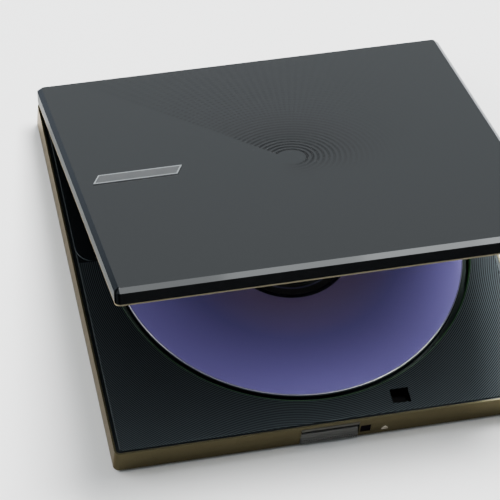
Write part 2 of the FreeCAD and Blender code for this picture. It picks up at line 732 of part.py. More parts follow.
def latch_lever():
    """The rocker that the button turns to draw the catch off the lid's hook."""
    x, y = LEVER_PIVOT
    plate = prism(
        (
            (1.5, LEVER_FRONT_Y),
            (6.0, LEVER_FRONT_Y),
            (x - 1.5, -68.4),
            (x + 1.5, -68.4),
            (22.7, -67.6),
            (27.1, -67.6),
            (27.1, LEVER_CATCH_Y),
            (22.7, LEVER_CATCH_Y),
            (x + 2.0, -64.6),
            (x - 2.0, -64.6),
            (1.5, -65.6),
        ),
        LEVER_BOTTOM,
        LEVER_TOP,
    )
    return plate.cut(upright(LEVER_PIN_RADIUS + 0.05, 0, 20, x, y))


def lever_spring():
    """The coiled spring round the lever's post, sealed under the deck."""
    return tube(LEVER_SPRING_RADIUS, LEVER_POST_RADIUS + 0.05, LEVER_SPRING_BOTTOM, LEVER_BOTTOM - 0.15,
                *LEVER_PIVOT)


# Disc mechanism


def traverse_plate():
    """The steel plate that carries the spindle motor, the rods and the sled motor."""
    plate = box(*PLATE_X, *PLATE_Y, PLATE_BOTTOM, PLATE_TOP)
    opening = box(SLED_X - SLED_TRAVEL - SLED_OUTER - 0.9, SLED_X + SLED_INNER + 1.0,
                  -PLATE_OPENING_HALF, PLATE_OPENING_HALF, PLATE_BOTTOM, PLATE_TOP)
    corner = box(PLATE_X[0] - 1, PLATE_X[0] + 7.4, PLATE_Y[1] - 5.0, PLATE_Y[1] + 1, PLATE_BOTTOM, PLATE_TOP)
    holes = [upright(DAMPER_NECK_RADIUS, 0, 10, x, y) for x, y in DAMPER_POSTS]
    holes += [upright(SMALL_SHANK_RADIUS, 0, 10, x, y) for x, y in motor_screw_places()]
    bearing = disc_axis(4.0, 0, 10)
    return plate.cut([opening, corner, bearing] + holes)


def motor_screw_places():
    """Where the three screws of the motor's base go."""
    return [(DISC_X + MOTOR_SCREW_REACH * math.cos(math.radians(angle)),
             DISC_Y + MOTOR_SCREW_REACH * math.sin(math.radians(angle)))
            for angle in MOTOR_SCREW_ANGLES]


def dampers():
    """The three rubber grommets that the plate floats on."""
    grommets = []
    for x, y in DAMPER_POSTS:
        body = join([
            upright(DAMPER_FLANGE_RADIUS, DAMPER_BOTTOM, PLATE_BOTTOM, x, y),
            upright(DAMPER_NECK_RADIUS, DAMPER_BOTTOM, DAMPER_TOP, x, y),
            upright(DAMPER_FLANGE_RADIUS, PLATE_TOP, DAMPER_TOP, x, y),
        ])
        grommets.append(body.cut(upright(DAMPER_POST_RADIUS, 0, 10, x, y)))
    return grommets


def damper_screws():
    """The shouldered screws that hold the grommets on their posts."""
    return [headed_screw(x, y, 2.2, DAMPER_TOP, DAMPER_TOP + 0.7,
                         SMALL_SHANK_RADIUS, FLOOR_TOP + 0.3, DAMPER_TOP) for x, y in DAMPER_POSTS]


def guide_rods():
    """The two ground steel rods that the sled runs on."""
    return [along_x(ROD_RADIUS, *ROD_X, y, ROD_Z) for y in (-ROD_Y, ROD_Y)]


def rod_holders():
    """The four blocks that hold the rods' ends."""
    holders = []
    for y in (-ROD_Y, ROD_Y):
        for x0 in (ROD_X[0] - 0.2, ROD_X[1] - HOLDER_LENGTH + 0.2):
            block = box(x0, x0 + HOLDER_LENGTH, y - 1.8, y + 1.8, PLATE_TOP, HOLDER_TOP)
            holders.append(block.cut(along_x(ROD_RADIUS, *ROD_X, y, ROD_Z)))
    return holders


def motor_base():
    """The spindle motor's steel base plate."""
    plate = disc_axis(MOTOR_PLATE_RADIUS, PLATE_TOP, MOTOR_BASE_TOP)
    tabs = [upright(2.4, PLATE_TOP, MOTOR_BASE_TOP, x, y) for x, y in motor_screw_places()]
    holes = [upright(SMALL_SHANK_RADIUS + 0.2, 0, 10, x, y) for x, y in motor_screw_places()]
    return join([plate] + tabs).cut(holes + [disc_axis(BEARING_RADIUS, 0, 10)])


def motor_screws():
    """The motor base's three screws."""
    return [headed_screw(x, y, 1.4, MOTOR_BASE_TOP, MOTOR_BASE_TOP + 0.7, SMALL_SHANK_RADIUS,
                         PLATE_BOTTOM + 0.1, MOTOR_BASE_TOP) for x, y in motor_screw_places()]


def spindle_bearing():
    """The sintered sleeve bearing, closed at the bottom."""
    sleeve = disc_axis(BEARING_RADIUS, BEARING_BOTTOM, BEARING_TOP)
    return sleeve.cut(disc_axis(SHAFT_RADIUS + RUNNING_FIT, BEARING_BOTTOM + 0.6, BEARING_TOP + 1))


def around_disc_axis(shape, index, count):
    """The shape turned about the disc's axis by its share of a full turn."""
    turned = shape.copy()
    turned.rotate(Vector(DISC_X, DISC_Y, 0), Vector(0, 0, 1), 360.0 * index / count)
    return turned


def stator_core():
    """The laminated stator with its wound teeth's shoes."""
    ring = disc_tube(4.6, BEARING_RADIUS, *STATOR_Z)
    tooth = box(DISC_X + 4.0, DISC_X + STATOR_RADIUS - 0.3, -0.7, 0.7, *STATOR_Z)
    shoe = box(DISC_X + STATOR_RADIUS - 1.0, DISC_X + STATOR_RADIUS - 0.2, -2.6, 2.6, *STATOR_Z)
    teeth = [around_disc_axis(join([tooth, shoe]), index, STATOR_TEETH) for index in range(STATOR_TEETH)]
    return join([ring] + teeth).common(disc_axis(STATOR_RADIUS, 0, 10))


def stator_coils():
    """One winding round each tooth, drawn as its outer shape because the rotor covers it."""
    winding = box(DISC_X + 5.8, DISC_X + 9.0, -1.3, 1.3, STATOR_Z[0] - 0.7, STATOR_Z[1] + 0.7)
    tooth = box(DISC_X, DISC_X + STATOR_RADIUS, -0.7, 0.7, *STATOR_Z)
    coil = winding.cut(tooth)
    return [around_disc_axis(coil, index, STATOR_TEETH) for index in range(STATOR_TEETH)]


def spindle_shaft():
    """The spindle's shaft."""
    return disc_axis(SHAFT_RADIUS, BEARING_BOTTOM + 0.7, TURNTABLE_TOP)


def rotor_cup():
    """The steel rotor cup."""
    cup = disc_axis(ROTOR_RADIUS, *ROTOR_Z)
    hollow = disc_axis(ROTOR_RADIUS - ROTOR_SKIRT, ROTOR_Z[0], ROTOR_Z[1] - ROTOR_SKIRT)
    return cup.cut([hollow, disc_axis(SHAFT_RADIUS, 0, 20)])


def rotor_magnet():
    """The ring magnet inside the cup."""
    return disc_tube(ROTOR_RADIUS - ROTOR_SKIRT, MAGNET_INNER_RADIUS, ROTOR_Z[0] + 0.1, ROTOR_Z[1] - 0.8)


def turntable():
    """The moulded table that the disc's clear zone sits over."""
    table = disc_axis(TURNTABLE_RADIUS, ROTOR_Z[1], TURNTABLE_TOP)
    return table.cut(disc_axis(SHAFT_RADIUS, 0, 20))


def grip_ring():
    """The rubber ring that carries the disc."""
    return disc_tube(GRIP_OUTER_RADIUS, GRIP_INNER_RADIUS, TURNTABLE_TOP, DISC_SEAT_Z)


def hub_cap():
    """The hub that centres the disc, with three radial pockets for the chuck balls."""
    straight = disc_axis(HUB_RADIUS, TURNTABLE_TOP, HUB_TOP)
    edges = [e for e in straight.Edges if e.BoundBox.ZMin > HUB_TOP - 0.01 and e.Length > 10]
    cap = straight.makeChamfer(HUB_CHAMFER, edges)
    dimple = disc_axis(HUB_DIMPLE_RADIUS, HUB_TOP - 0.4, HUB_TOP + 1)
    return cap.cut([dimple] + [ball_pocket(angle) for angle in BALL_ANGLES])


def ball_direction(angle):
    """The unit vector from the disc's axis towards a ball."""
    return Vector(math.cos(math.radians(angle)), math.sin(math.radians(angle)), 0)


def ball_centre(angle):
    """A ball's centre at rest."""
    return Vector(DISC_X, DISC_Y, BALL_Z) + ball_direction(angle) * BALL_CENTRE_RADIUS


def ball_pocket(angle):
    """The bore that one ball slides in, open at the hub's side."""
    direction = ball_direction(angle)
    start = ball_centre(angle) - direction * BALL_POCKET_DEPTH
    return Part.makeCylinder(BALL_RADIUS + BALL_FIT, BALL_POCKET_DEPTH + 4, start, direction)


def chuck_ball(angle):
    """One steel chuck ball."""
    return Part.makeSphere(BALL_RADIUS, ball_centre(angle))


def disc():
    """The recordable disc, with the moulded groove of its clear zone."""
    top = DISC_SEAT_Z + DISC_THICKNESS
    plate = disc_axis(DISC_RADIUS, DISC_SEAT_Z, top)
    rims = [e for e in plate.Edges if e.Length > 2 * math.pi * DISC_RADIUS - 1]
    plate = plate.makeChamfer(DISC_EDGE_CHAMFER, rims)
    groove = disc_tube(DISC_GROOVE_RADIUS + DISC_GROOVE_WIDTH / 2, DISC_GROOVE_RADIUS - DISC_GROOVE_WIDTH / 2,
                       top - DISC_GROOVE_DEPTH, top + 1)
    return plate.cut([disc_axis(DISC_BORE_RADIUS, 0, 20), groove])


def sled_carriage():
    """The die-cast pickup carriage: housing, long bearing arm and the fork for the second rod."""
    x0 = SLED_X - SLED_OUTER
    x1 = SLED_X + SLED_INNER
    housing = box(x0, x1, -SLED_HALF, SLED_HALF, SLED_BOTTOM, SLED_TOP)
    bearing_arm = box(x0, x1, -ARM_REACH, -SLED_HALF, ARM_BOTTOM, SLED_TOP)
    relief = box(x0 + ARM_END_PAD, x1 - ARM_END_PAD, -ARM_REACH - 1, -ROD_Y + 2.2, 0, SLED_TOP + 1)
    fork = box(SLED_X - 4.0, SLED_X + 1.0, SLED_HALF, ARM_REACH, ARM_BOTTOM, SLED_TOP)
    bore_radius = ROD_RADIUS + RUNNING_FIT
    bore = along_x(bore_radius, x0 - 1, x1 + 1, -ROD_Y, ROD_Z)
    slot = box(x0, x1, ROD_Y - 1.6, ARM_REACH + 1, ROD_Z - bore_radius, ROD_Z + bore_radius)
    pocket = box(SLED_X - POCKET_HALF_X, SLED_X + POCKET_HALF_X, -POCKET_HALF_Y, POCKET_HALF_Y,
                 POCKET_FLOOR, SLED_TOP + 1)
    diode = along_x(DIODE_RADIUS, x0 - 1, x0 + DIODE_LENGTH, DIODE_Y, DIODE_Z)
    bridge = box(x0 + ARM_END_PAD, x1 - ARM_END_PAD, -ARM_REACH, -ROD_Y - bore_radius - 0.3,
                 ARM_BOTTOM, SLED_TOP)
    body = join([housing, bearing_arm, fork]).cut(relief)
    return join([body, bridge]).cut([bore, slot, pocket, diode])


def laser_diode():
    """The laser diode's can, flush in the carriage's outer end."""
    x0 = SLED_X - SLED_OUTER
    return along_x(DIODE_RADIUS, x0, x0 + DIODE_LENGTH, DIODE_Y, DIODE_Z)


def actuator_magnets():
    """The two magnets beside the lens holder."""
    return [box(SLED_X - 3.4, SLED_X + 3.4, *sorted((side * 6.1, side * 7.5)), POCKET_FLOOR, SLED_TOP - 0.2)
            for side in (-1, 1)]


def lens_holder():
    """The moulded holder that carries the lens and floats in the carriage's pocket."""
    half_x, half_y = LENS_HOLDER_HALF
    block = box(SLED_X - half_x, SLED_X + half_x, -half_y, half_y, *LENS_HOLDER_Z)
    return block.cut(upright(LENS_RADIUS, 0, 20, SLED_X, 0))


def objective_lens():
    """The objective lens: a cylinder with a domed top."""
    lens = upright(LENS_RADIUS, LENS_BOTTOM, LENS_TOP, SLED_X, 0)
    dome = Part.makeSphere(LENS_DOME_RADIUS, Vector(SLED_X, 0, LENS_TOP - LENS_DOME_RADIUS))
    return lens.common(dome)


def rack_follower():
    """The sprung follower that rides in the lead screw's thread."""
    return box(SLED_X - 3.0, SLED_X + 3.0, SCREW_Y + SCREW_RADIUS + 0.1, -ARM_REACH, 4.7, 6.4)


def sled_motor():
    """The small stepping motor that turns the lead screw."""
    can = box(*SLED_MOTOR_X, SCREW_Y - SLED_MOTOR_HALF, SCREW_Y + SLED_MOTOR_HALF, PLATE_TOP, SLED_MOTOR_TOP)
    can_length = SLED_MOTOR_X[1] - SLED_MOTOR_X[0]
    long_edges = [e for e in can.Edges if e.Length > can_length - 0.1 and e.BoundBox.ZMin > PLATE_TOP + 1]
    can = can.makeFillet(SLED_MOTOR_ROUND, long_edges)
    return can.cut(along_x(SCREW_RADIUS + 0.05, SLED_MOTOR_X[0] + 1.5, SLED_MOTOR_X[1] + 1, SCREW_Y, SCREW_Z))


def screw_bracket():
    """The bent plate that carries the lead screw's free end."""
    wall = box(*BRACKET_X, SCREW_Y - 2.4, SCREW_Y + 2.4, PLATE_TOP, 6.9)
    foot = box(BRACKET_X[1], BRACKET_X[1] + 4.0, SCREW_Y - 2.4, SCREW_Y + 2.4, PLATE_TOP, PLATE_TOP + 0.6)
    return join([wall, foot]).cut(along_x(JOURNAL_RADIUS + 0.05, -20, BRACKET_X[1] + 0.1, SCREW_Y, SCREW_Z))


def lead_screw():
    """The lead screw, its thread left plain."""
    rod = along_x(SCREW_RADIUS, SLED_MOTOR_X[0] + 1.7, BRACKET_X[0] - 0.1, SCREW_Y, SCREW_Z)
    journal = along_x(JOURNAL_RADIUS, BRACKET_X[0] - 0.2, BRACKET_X[1] + 0.3, SCREW_Y, SCREW_Z)
    return join([rod, journal])


def motor_ribbon():
    """The flat cable from the spindle motor's base to the board."""
    strip = box(MOTOR_RIBBON_X - MOTOR_RIBBON_HALF, MOTOR_RIBBON_X + MOTOR_RIBBON_HALF, 0.0, CONNECTOR_Y[0],
                MOTOR_BASE_TOP, MOTOR_BASE_TOP + RIBBON_THICKNESS)
    return strip.cut(disc_axis(ROTOR_RADIUS + 0.3, 0, HUB_TOP))


def pickup_ribbon():
    """The flat cable from the carriage to the board, passing under the second rod."""
    top = ARM_BOTTOM - 0.02
    return box(PICKUP_RIBBON_X - PICKUP_RIBBON_HALF, PICKUP_RIBBON_X + PICKUP_RIBBON_HALF,
               SLED_HALF, CONNECTOR_Y[0], top - RIBBON_THICKNESS, top)


# Lid and hinge


def hinge_pins():
    """The two steel hinge pins, held in the case's knuckles."""
    return [hinge_cylinder(PIN_RADIUS, centre - PIN_HALF_LENGTH, centre + PIN_HALF_LENGTH)
            for centre in (-HINGE_CENTRE_X, HINGE_CENTRE_X)]


def hinge_bushes():
    """The friction bushes in the lid's knuckles, as shut."""
    return [hinge_cylinder(BUSH_RADIUS, x0, x1).cut(hinge_cylinder(BUSH_BORE_RADIUS, x0 - 1, x1 + 1))
            for x0, x1 in lid_knuckle_spans()]


def case_knuckle_room():
    """The room that the case's knuckles need in any lid piece."""
    clear = KNUCKLE_CLEARANCE
    return [hinge_cylinder(KNUCKLE_RADIUS + clear, x0 - clear, x1 + clear)
            for x0, x1 in hinge_spans(CASE_KNUCKLE_INNER, CASE_KNUCKLE_OUTER)]


def lid_outline(inset, radius, z):
    """The lid's outline at a height, as a wire."""
    x = HALF_WIDTH - inset
    y = HALF_DEPTH - inset
    return rounded_wire(-x, x, -y, y, radius, z)


def lid_cover():
    """The gloss lid: flat top, sloped edge, outer walls, inner posts and the lid's knuckles, as shut."""
    wall_top = LID_BOTTOM + LID_WALL_HEIGHT
    wall_bottom = LID_BOTTOM + TRIM_HEIGHT + TRIM_GROOVE
    walls = case_block(0.0, wall_bottom, wall_top, CORNER_RADIUS)
    slope = Part.makeLoft([lid_outline(0.0, CORNER_RADIUS, wall_top),
                           lid_outline(LID_CHAMFER_WIDTH, LID_CORNER_TOP_RADIUS, LID_TOP)], True, True)
    hollow = case_block(WALL, LID_BOTTOM - 1, LID_TOP - LID_SKIN, CORNER_RADIUS - 1.0)
    post_places = [(x, y) for x in (-60.0, 0.0, 60.0) for y in (-60.0, 30.0)]
    posts = [upright(LID_POST_RADIUS, LINER_BOTTOM + LINER_THICKNESS, LID_TOP - LID_SKIN + 0.2, x, y)
             for x, y in post_places]
    cover = join([join([walls, slope]).cut(hollow)] + posts)
    cover = cover.cut(case_knuckle_room())
    knuckles = []
    for x0, x1 in lid_knuckle_spans():
        web = box(x0, x1, HALF_DEPTH - WALL, HINGE_Y, HINGE_Z, wall_bottom + 1.2)
        knuckles.append(join([hinge_cylinder(KNUCKLE_RADIUS, x0, x1), web]))
    bores = [hinge_cylinder(BUSH_RADIUS, x0 - 1, x1 + 1) for x0, x1 in lid_knuckle_spans()]
    return join([cover] + knuckles).cut(bores)


def lid_trim():
    """The thin bronze frame round the lid's lower edge, as shut."""
    ring = case_block(TRIM_INSET, LID_BOTTOM, LID_BOTTOM + TRIM_HEIGHT, CORNER_RADIUS - TRIM_INSET)
    upstand_top = LID_BOTTOM + TRIM_HEIGHT + TRIM_GROOVE
    upstand = case_block(TRIM_UPSTAND_INSET, LID_BOTTOM, upstand_top, CORNER_RADIUS - TRIM_UPSTAND_INSET)
    frame = join([ring, upstand]).cut(case_block(WALL, 0, LID_TOP, CORNER_RADIUS - 1.0))
    room = [hinge_cylinder(KNUCKLE_RADIUS + KNUCKLE_CLEARANCE, x0 - 0.1, x1 + 0.1)
            for x0, x1 in lid_knuckle_spans()]
    return frame.cut(case_knuckle_room() + room)


def lid_liner():
    """The flat inner panel of the lid, with its round recess over the hub, as shut."""
    inset = WALL + 0.1
    panel = case_block(inset, LINER_BOTTOM, LINER_BOTTOM + LINER_THICKNESS, CORNER_RADIUS - 1.1)
    recess = disc_axis(LINER_HUB_RECESS_RADIUS, LINER_BOTTOM - 1, LINER_BOTTOM + LINER_HUB_RECESS_DEPTH)
    room = [hinge_cylinder(KNUCKLE_RADIUS + KNUCKLE_CLEARANCE, x0 - 0.1, x1 + 0.1)
            for x0, x1 in lid_knuckle_spans()]
    return panel.cut([recess] + case_knuckle_room() + room)


def lid_badge():
    """The plain slanted plate on the lid, as shut."""
    x, y = BADGE_CENTRE
    half = BADGE_LENGTH / 2
    rise = BADGE_HEIGHT / 2
    lean = BADGE_SLANT / 2
    corners = ((x - half - lean, y - rise), (x + half - lean, y - rise),
               (x + half + lean, y + rise), (x - half + lean, y + rise))
    return prism(corners, LID_TOP, LID_TOP + BADGE_THICKNESS)


def lid_hook():
    """The lid's latch hook with its barb towards the front, as shut."""
    x = LATCH_HOLE_CENTRE[0]
    return profile_prism(
        (
            (HOOK_BACK_Y, HOOK_TIP_Z),
            (HOOK_FRONT_Y - 0.3, HOOK_TIP_Z),
            (HOOK_FRONT_Y - HOOK_BARB, HOOK_BARB_TOP - 0.1),
            (HOOK_FRONT_Y - HOOK_BARB, HOOK_BARB_TOP),
            (HOOK_FRONT_Y, HOOK_BARB_TOP),
            (HOOK_FRONT_Y, LINER_BOTTOM - 0.8),
            (HOOK_FRONT_Y - 1.2, LINER_BOTTOM),
            (HOOK_BACK_Y, LINER_BOTTOM),
        ),
        x - HOOK_HALF_WIDTH,
        x + HOOK_HALF_WIDTH,
    )


def lid_bumpers():
    """The two soft pads that the shut lid's front rests near, as shut."""
    return [upright(BUMPER_RADIUS, FIELD_TOP + 0.15, LINER_BOTTOM, x, y) for x, y in BUMPER_CENTRES]


def opened(shapes):
    """Each shape turned to the stored open position."""
    return [open_lid(shape) for shape in shapes]


def build_base():
    """Write the nodes of the fixed base."""
    save("base_shell", [base_shell()])
    save("deck_panel", [deck_panel()])
    save("rubber_feet", rubber_feet())
    save("case_screws", case_screws())
    save("led_window", [led_window()])
    save("front_board", [front_board()])
    save("indicator_led", [indicator_led()])
    save("lid_switch", [lid_switch()])
    save("main_board", [main_board()])
    save("board_chips", on_board(CHIPS))
    save("board_small_parts", on_board(SMALL_PARTS))
    save("ribbon_connectors", ribbon_connectors())
    save("board_screws", board_screws())
    save("usb_port", [usb_port()])
    save("usb_tongue", [usb_tongue()])
    save("button_springs", button_springs())
    save("lever_spring", [lever_spring()])
    save("hinge_pins", hinge_pins())


def build_mechanism():
    """Write the nodes that carry, drive and turn the disc and the pickup."""
    save("traverse_plate", [traverse_plate()])
    save("dampers", dampers())
    save("damper_screws", damper_screws())
    save("guide_rods", guide_rods())
    save("rod_holders", rod_holders())
    save("motor_base", [motor_base()])
    save("motor_screws", motor_screws())
    save("spindle_bearing", [spindle_bearing()])
    save("stator_core", [stator_core()])
    save("stator_coils", stator_coils())
    save("sled_motor", [sled_motor()])
    save("screw_bracket", [screw_bracket()])
    save("motor_ribbon", [motor_ribbon()])
    save("pickup_ribbon", [pickup_ribbon()])
    save("spindle_shaft", [spindle_shaft()])
    save("rotor_cup", [rotor_cup()])
    save("rotor_magnet", [rotor_magnet()])
    save("turntable", [turntable()])
    save("grip_ring", [grip_ring()])
    save("hub_cap", [hub_cap()])
    save("disc", [disc()])
    for number, angle in enumerate(BALL_ANGLES, start=1):
        save(f"chuck_ball_{number}", [chuck_ball(angle)])
    save("sled_carriage", [sled_carriage()])
    save("laser_diode", [laser_diode()])
    save("actuator_magnets", actuator_magnets())
    save("lens_holder", [lens_holder()])
    save("objective_lens", [objective_lens()])
    save("rack_follower", [rack_follower()])
    save("lead_screw", [lead_screw()])


def build_controls():
    """Write the nodes that open the lid."""
    save("eject_button", [eject_button()])
    save("latch_lever", [latch_lever()])
    save("switch_plunger", [switch_plunger()])


def build_lid():
    """Write the lid's nodes, in the stored open position."""
    save("lid_cover", opened([lid_cover()]))
    save("lid_trim", opened([lid_trim()]))
    save("lid_liner", opened([lid_liner()]))
    save("lid_badge", opened([lid_badge()]))
    save("lid_hook", opened([lid_hook()]))
    save("lid_bumpers", opened(lid_bumpers()))
    save("hinge_bushes", opened(hinge_bushes()))


build_base()
build_mechanism()
build_controls()
build_lid()
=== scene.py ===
"""Dressed scene of a slim top-loading optical disc drive, in metres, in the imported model's frame.

The drive stands open with a disc in its well. The solids carry most of the shape, so this script
gives each one its finish, adds the fine pieces that the solids leave plain, and sets the floor,
the lights and the camera.
"""

import logging
import math
from dataclasses import dataclass, field
from enum import Enum

import bmesh
import bpy
from bpy.types import Material, Node, NodeSocket, Object
from mathutils import Matrix, Vector


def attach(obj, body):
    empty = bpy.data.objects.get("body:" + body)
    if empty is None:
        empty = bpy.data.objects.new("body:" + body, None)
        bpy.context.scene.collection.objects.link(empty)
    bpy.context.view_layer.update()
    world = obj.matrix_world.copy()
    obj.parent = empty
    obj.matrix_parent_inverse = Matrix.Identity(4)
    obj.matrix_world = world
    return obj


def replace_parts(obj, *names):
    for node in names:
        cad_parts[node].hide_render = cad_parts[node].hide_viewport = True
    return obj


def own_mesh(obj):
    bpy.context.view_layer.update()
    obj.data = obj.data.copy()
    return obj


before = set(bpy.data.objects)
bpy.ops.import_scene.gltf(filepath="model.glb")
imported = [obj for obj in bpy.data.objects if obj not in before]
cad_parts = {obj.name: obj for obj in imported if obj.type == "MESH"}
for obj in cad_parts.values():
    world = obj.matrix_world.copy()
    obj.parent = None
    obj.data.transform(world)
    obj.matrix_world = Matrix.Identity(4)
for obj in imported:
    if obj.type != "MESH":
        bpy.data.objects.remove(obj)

LOG = logging.getLogger("disc_drive")
MM = 0.001
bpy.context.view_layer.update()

Pair = tuple[float, float]
Triple = tuple[float, float, float]
Colour = Triple
Points = list[Vector]
Pairs = tuple[Pair, ...]

DISC_CENTRE = Vector((1.4, 0.0, 0.0)) * MM
HINGE_POINT = Vector((0.0, 72.6, 11.8)) * MM
LID_OPEN = math.radians(26.4)
TO_HINGE = Matrix.Translation(HINGE_POINT)
LID_TURN = TO_HINGE @ Matrix.Rotation(-LID_OPEN, 4, "X") @ TO_HINGE.inverted()
LID_SLOPE_HEIGHT = 1.3 * MM
RING_CENTRE = Vector((0.82, -1.77, 17.4)) * MM
AXIS_X = Vector((1.0, 0.0, 0.0))
AXIS_Y = Vector((0.0, 1.0, 0.0))
AXIS_Z = Vector((0.0, 0.0, 1.0))


def scaled(colour: Colour, factor: float) -> Colour:
    """Return a colour made darker or lighter, with no part above 1."""
    return tuple(min(1.0, part * factor) for part in colour)


def in_scene(name: str, data: bpy.types.ID) -> Object:
    """Return a new object in the scene that shows the given mesh, light or camera."""
    made = bpy.data.objects.new(name, data)
    bpy.context.scene.collection.objects.link(made)
    return made


def mesh_data(name: str, mesh: bmesh.types.BMesh) -> bpy.types.Mesh:
    """Return a finished bmesh as mesh data, and free the bmesh."""
    data = bpy.data.meshes.new(name)
    mesh.to_mesh(data)
    mesh.free()
    return data


class Sock:
    """A socket of a shader graph whose operators add Math nodes."""

    def __init__(self, graph: "Graph", socket: NodeSocket) -> None:
        """Keep the graph and the socket."""
        self.graph = graph
        self.socket = socket

    def math(self, operation: str, *others: "float | Sock") -> "Sock":
        """Return this value and other inputs put through a Math node of the given operation."""
        return self.graph.math(operation, self, *others)

    def __add__(self, other: "float | Sock") -> "Sock":
        """Add."""
        return self.math("ADD", other)

    def __sub__(self, other: "float | Sock") -> "Sock":
        """Subtract."""
        return self.math("SUBTRACT", other)

    def __rsub__(self, other: float) -> "Sock":
        """Subtract from a number."""
        return self.graph.math("SUBTRACT", other, self)

    def __mul__(self, other: "float | Sock") -> "Sock":
        """Multiply."""
        return self.math("MULTIPLY", other)

    def __truediv__(self, other: "float | Sock") -> "Sock":
        """Divide."""
        return self.math("DIVIDE", other)

    def step(self, edge: "float | Sock") -> "Sock":
        """Return 1 where this value is above the edge."""
        return self.math("GREATER_THAN", edge)

    def ramp(self, low: float, high: float) -> "Sock":
        """Return 0 at low, 1 at high and a straight line between them."""
        values = {"Value": self, "From Min": low, "From Max": high}
        return Sock(self.graph, self.graph.node("ShaderNodeMapRange", None, values).outputs["Result"])

    def band(self, low: float, high: float) -> "Sock":
        """Return 1 between two edges and 0 outside them."""
        return self.step(low) * (1.0 - self.step(high))

    def wave(self, pitch: float) -> "Sock":
        """Return a sine along this value, from -1 to 1, that repeats at the pitch."""
        return (self * (math.tau / pitch)).math("SINE")

    def ripple(self, pitch: float) -> "Sock":
        """Return a sine along this value, from 0 to 1, that repeats at the pitch."""
        return self.wave(pitch) * 0.5 + 0.5


class Graph:
    """One material's node tree, built from named finishes."""

    def __init__(self, name: str) -> None:
        """Start a material with an empty tree, a Principled shader and an output."""
        self.material = bpy.data.materials.new(name)
        self.material.use_nodes = True
        self.tree = self.material.node_tree
        self.tree.nodes.clear()
        self.output = self.tree.nodes.new("ShaderNodeOutputMaterial")
        self.shader = self.tree.nodes.new("ShaderNodeBsdfPrincipled")
        self.tree.links.new(self.shader.outputs["BSDF"], self.output.inputs["Surface"])

    def node(self, kind: str, settings: dict | None = None, inputs: dict | None = None) -> Node:
        """Add a node.

        Args:
            kind: the node's type.
            settings: the node's own properties, which are set first.
            inputs: the values or links of its sockets, by name or number.

        Returns:
            The new node.
        """
        made = self.tree.nodes.new(kind)
        for key, value in (settings or {}).items():
            setattr(made, key, value)
        for key, value in (inputs or {}).items():
            self.feed(made.inputs[key], value)
        return made

    def feed(self, socket: NodeSocket, value: object) -> None:
        """Link or set one input socket.

        Args:
            socket: the input.
            value: an output to link, or a number, a colour or a vector to set.
        """
        if isinstance(value, Sock):
            self.tree.links.new(value.socket, socket)
        elif isinstance(value, NodeSocket):
            self.tree.links.new(value, socket)
        elif isinstance(value, tuple) and len(value) == 3 and socket.type == "RGBA":
            socket.default_value = (*value, 1.0)
        else:
            socket.default_value = value

    def math(self, operation: str, *values: "float | Sock") -> Sock:
        """Add a Math node and return its result."""
        made = self.node("ShaderNodeMath", {"operation": operation}, dict(enumerate(values)))
        return Sock(self, made.outputs[0])

    def place(self, move: Vector = Vector(), turn_x: float = 0.0) -> NodeSocket:
        """Return Object coordinates, turned about X and then moved."""
        coords = self.node("ShaderNodeTexCoord").outputs["Object"]
        values = {"Vector": coords, "Rotation": (turn_x, 0.0, 0.0), "Location": tuple(move)}
        return self.node("ShaderNodeMapping", None, values).outputs["Vector"]

    def axes(self, move: Vector = Vector(), turn_x: float = 0.0) -> tuple[Sock, Sock, Sock]:
        """Return the three parts of Object coordinates.

        Args:
            move: how far they are moved, after the turn.
            turn_x: the turn about X.

        Returns:
            The parts along X, Y and Z.
        """
        parts = self.node("ShaderNodeSeparateXYZ", None, {0: self.place(move, turn_x)})
        return tuple(Sock(self, part) for part in parts.outputs)

    def noise(self, cells: float, detail: float) -> Sock:
        """Return noise on Object coordinates, from 0 to 1.

        Args:
            cells: cells per metre.
            detail: octaves.

        Returns:
            The noise value.
        """
        values = {"Vector": self.place(), "Scale": cells, "Detail": detail}
        return Sock(self, self.node("ShaderNodeTexNoise", None, values).outputs["Fac"])

    def blend(self, factor: "float | Sock", first: "Colour | Sock", second: "Colour | Sock") -> Sock:
        """Return a mix of two colours: the first at a factor of 0, the second at 1."""
        made = self.node("ShaderNodeMix", {"data_type": "RGBA"}, {0: factor, 6: first, 7: second})
        return Sock(self, made.outputs[2])

    def bump(self, height: Sock, distance: float, strength: float) -> Sock:
        """Return a normal bent by a height from 0 to 1, of the given depth in metres."""
        values = {"Strength": strength, "Distance": distance, "Height": height}
        return Sock(self, self.node("ShaderNodeBump", None, values).outputs["Normal"])

    def _fill(self, shader: Node, values: dict) -> None:
        """Set a shader's sockets, with underscores for the spaces in their names."""
        for key, value in values.items():
            self.feed(shader.inputs[key.replace("_", " ")], value)

    def surface(self, **values: object) -> Material:
        """Set the first shader's sockets and return the material."""
        self._fill(self.shader, values)
        return self.material

    def layer(self, factor: Sock, **values: object) -> Material:
        """Cover part of the surface with a second finish.

        Args:
            factor: 1 where the second finish shows.
            values: the second shader's sockets.

        Returns:
            The material.
        """
        below = self.output.inputs["Surface"].links[0].from_socket
        over = self.node("ShaderNodeBsdfPrincipled")
        self._fill(over, values)
        mix = self.node("ShaderNodeMixShader", None, {0: factor, 1: below, 2: over.outputs["BSDF"]})
        self.feed(self.output.inputs["Surface"], mix.outputs["Shader"])
        return self.material


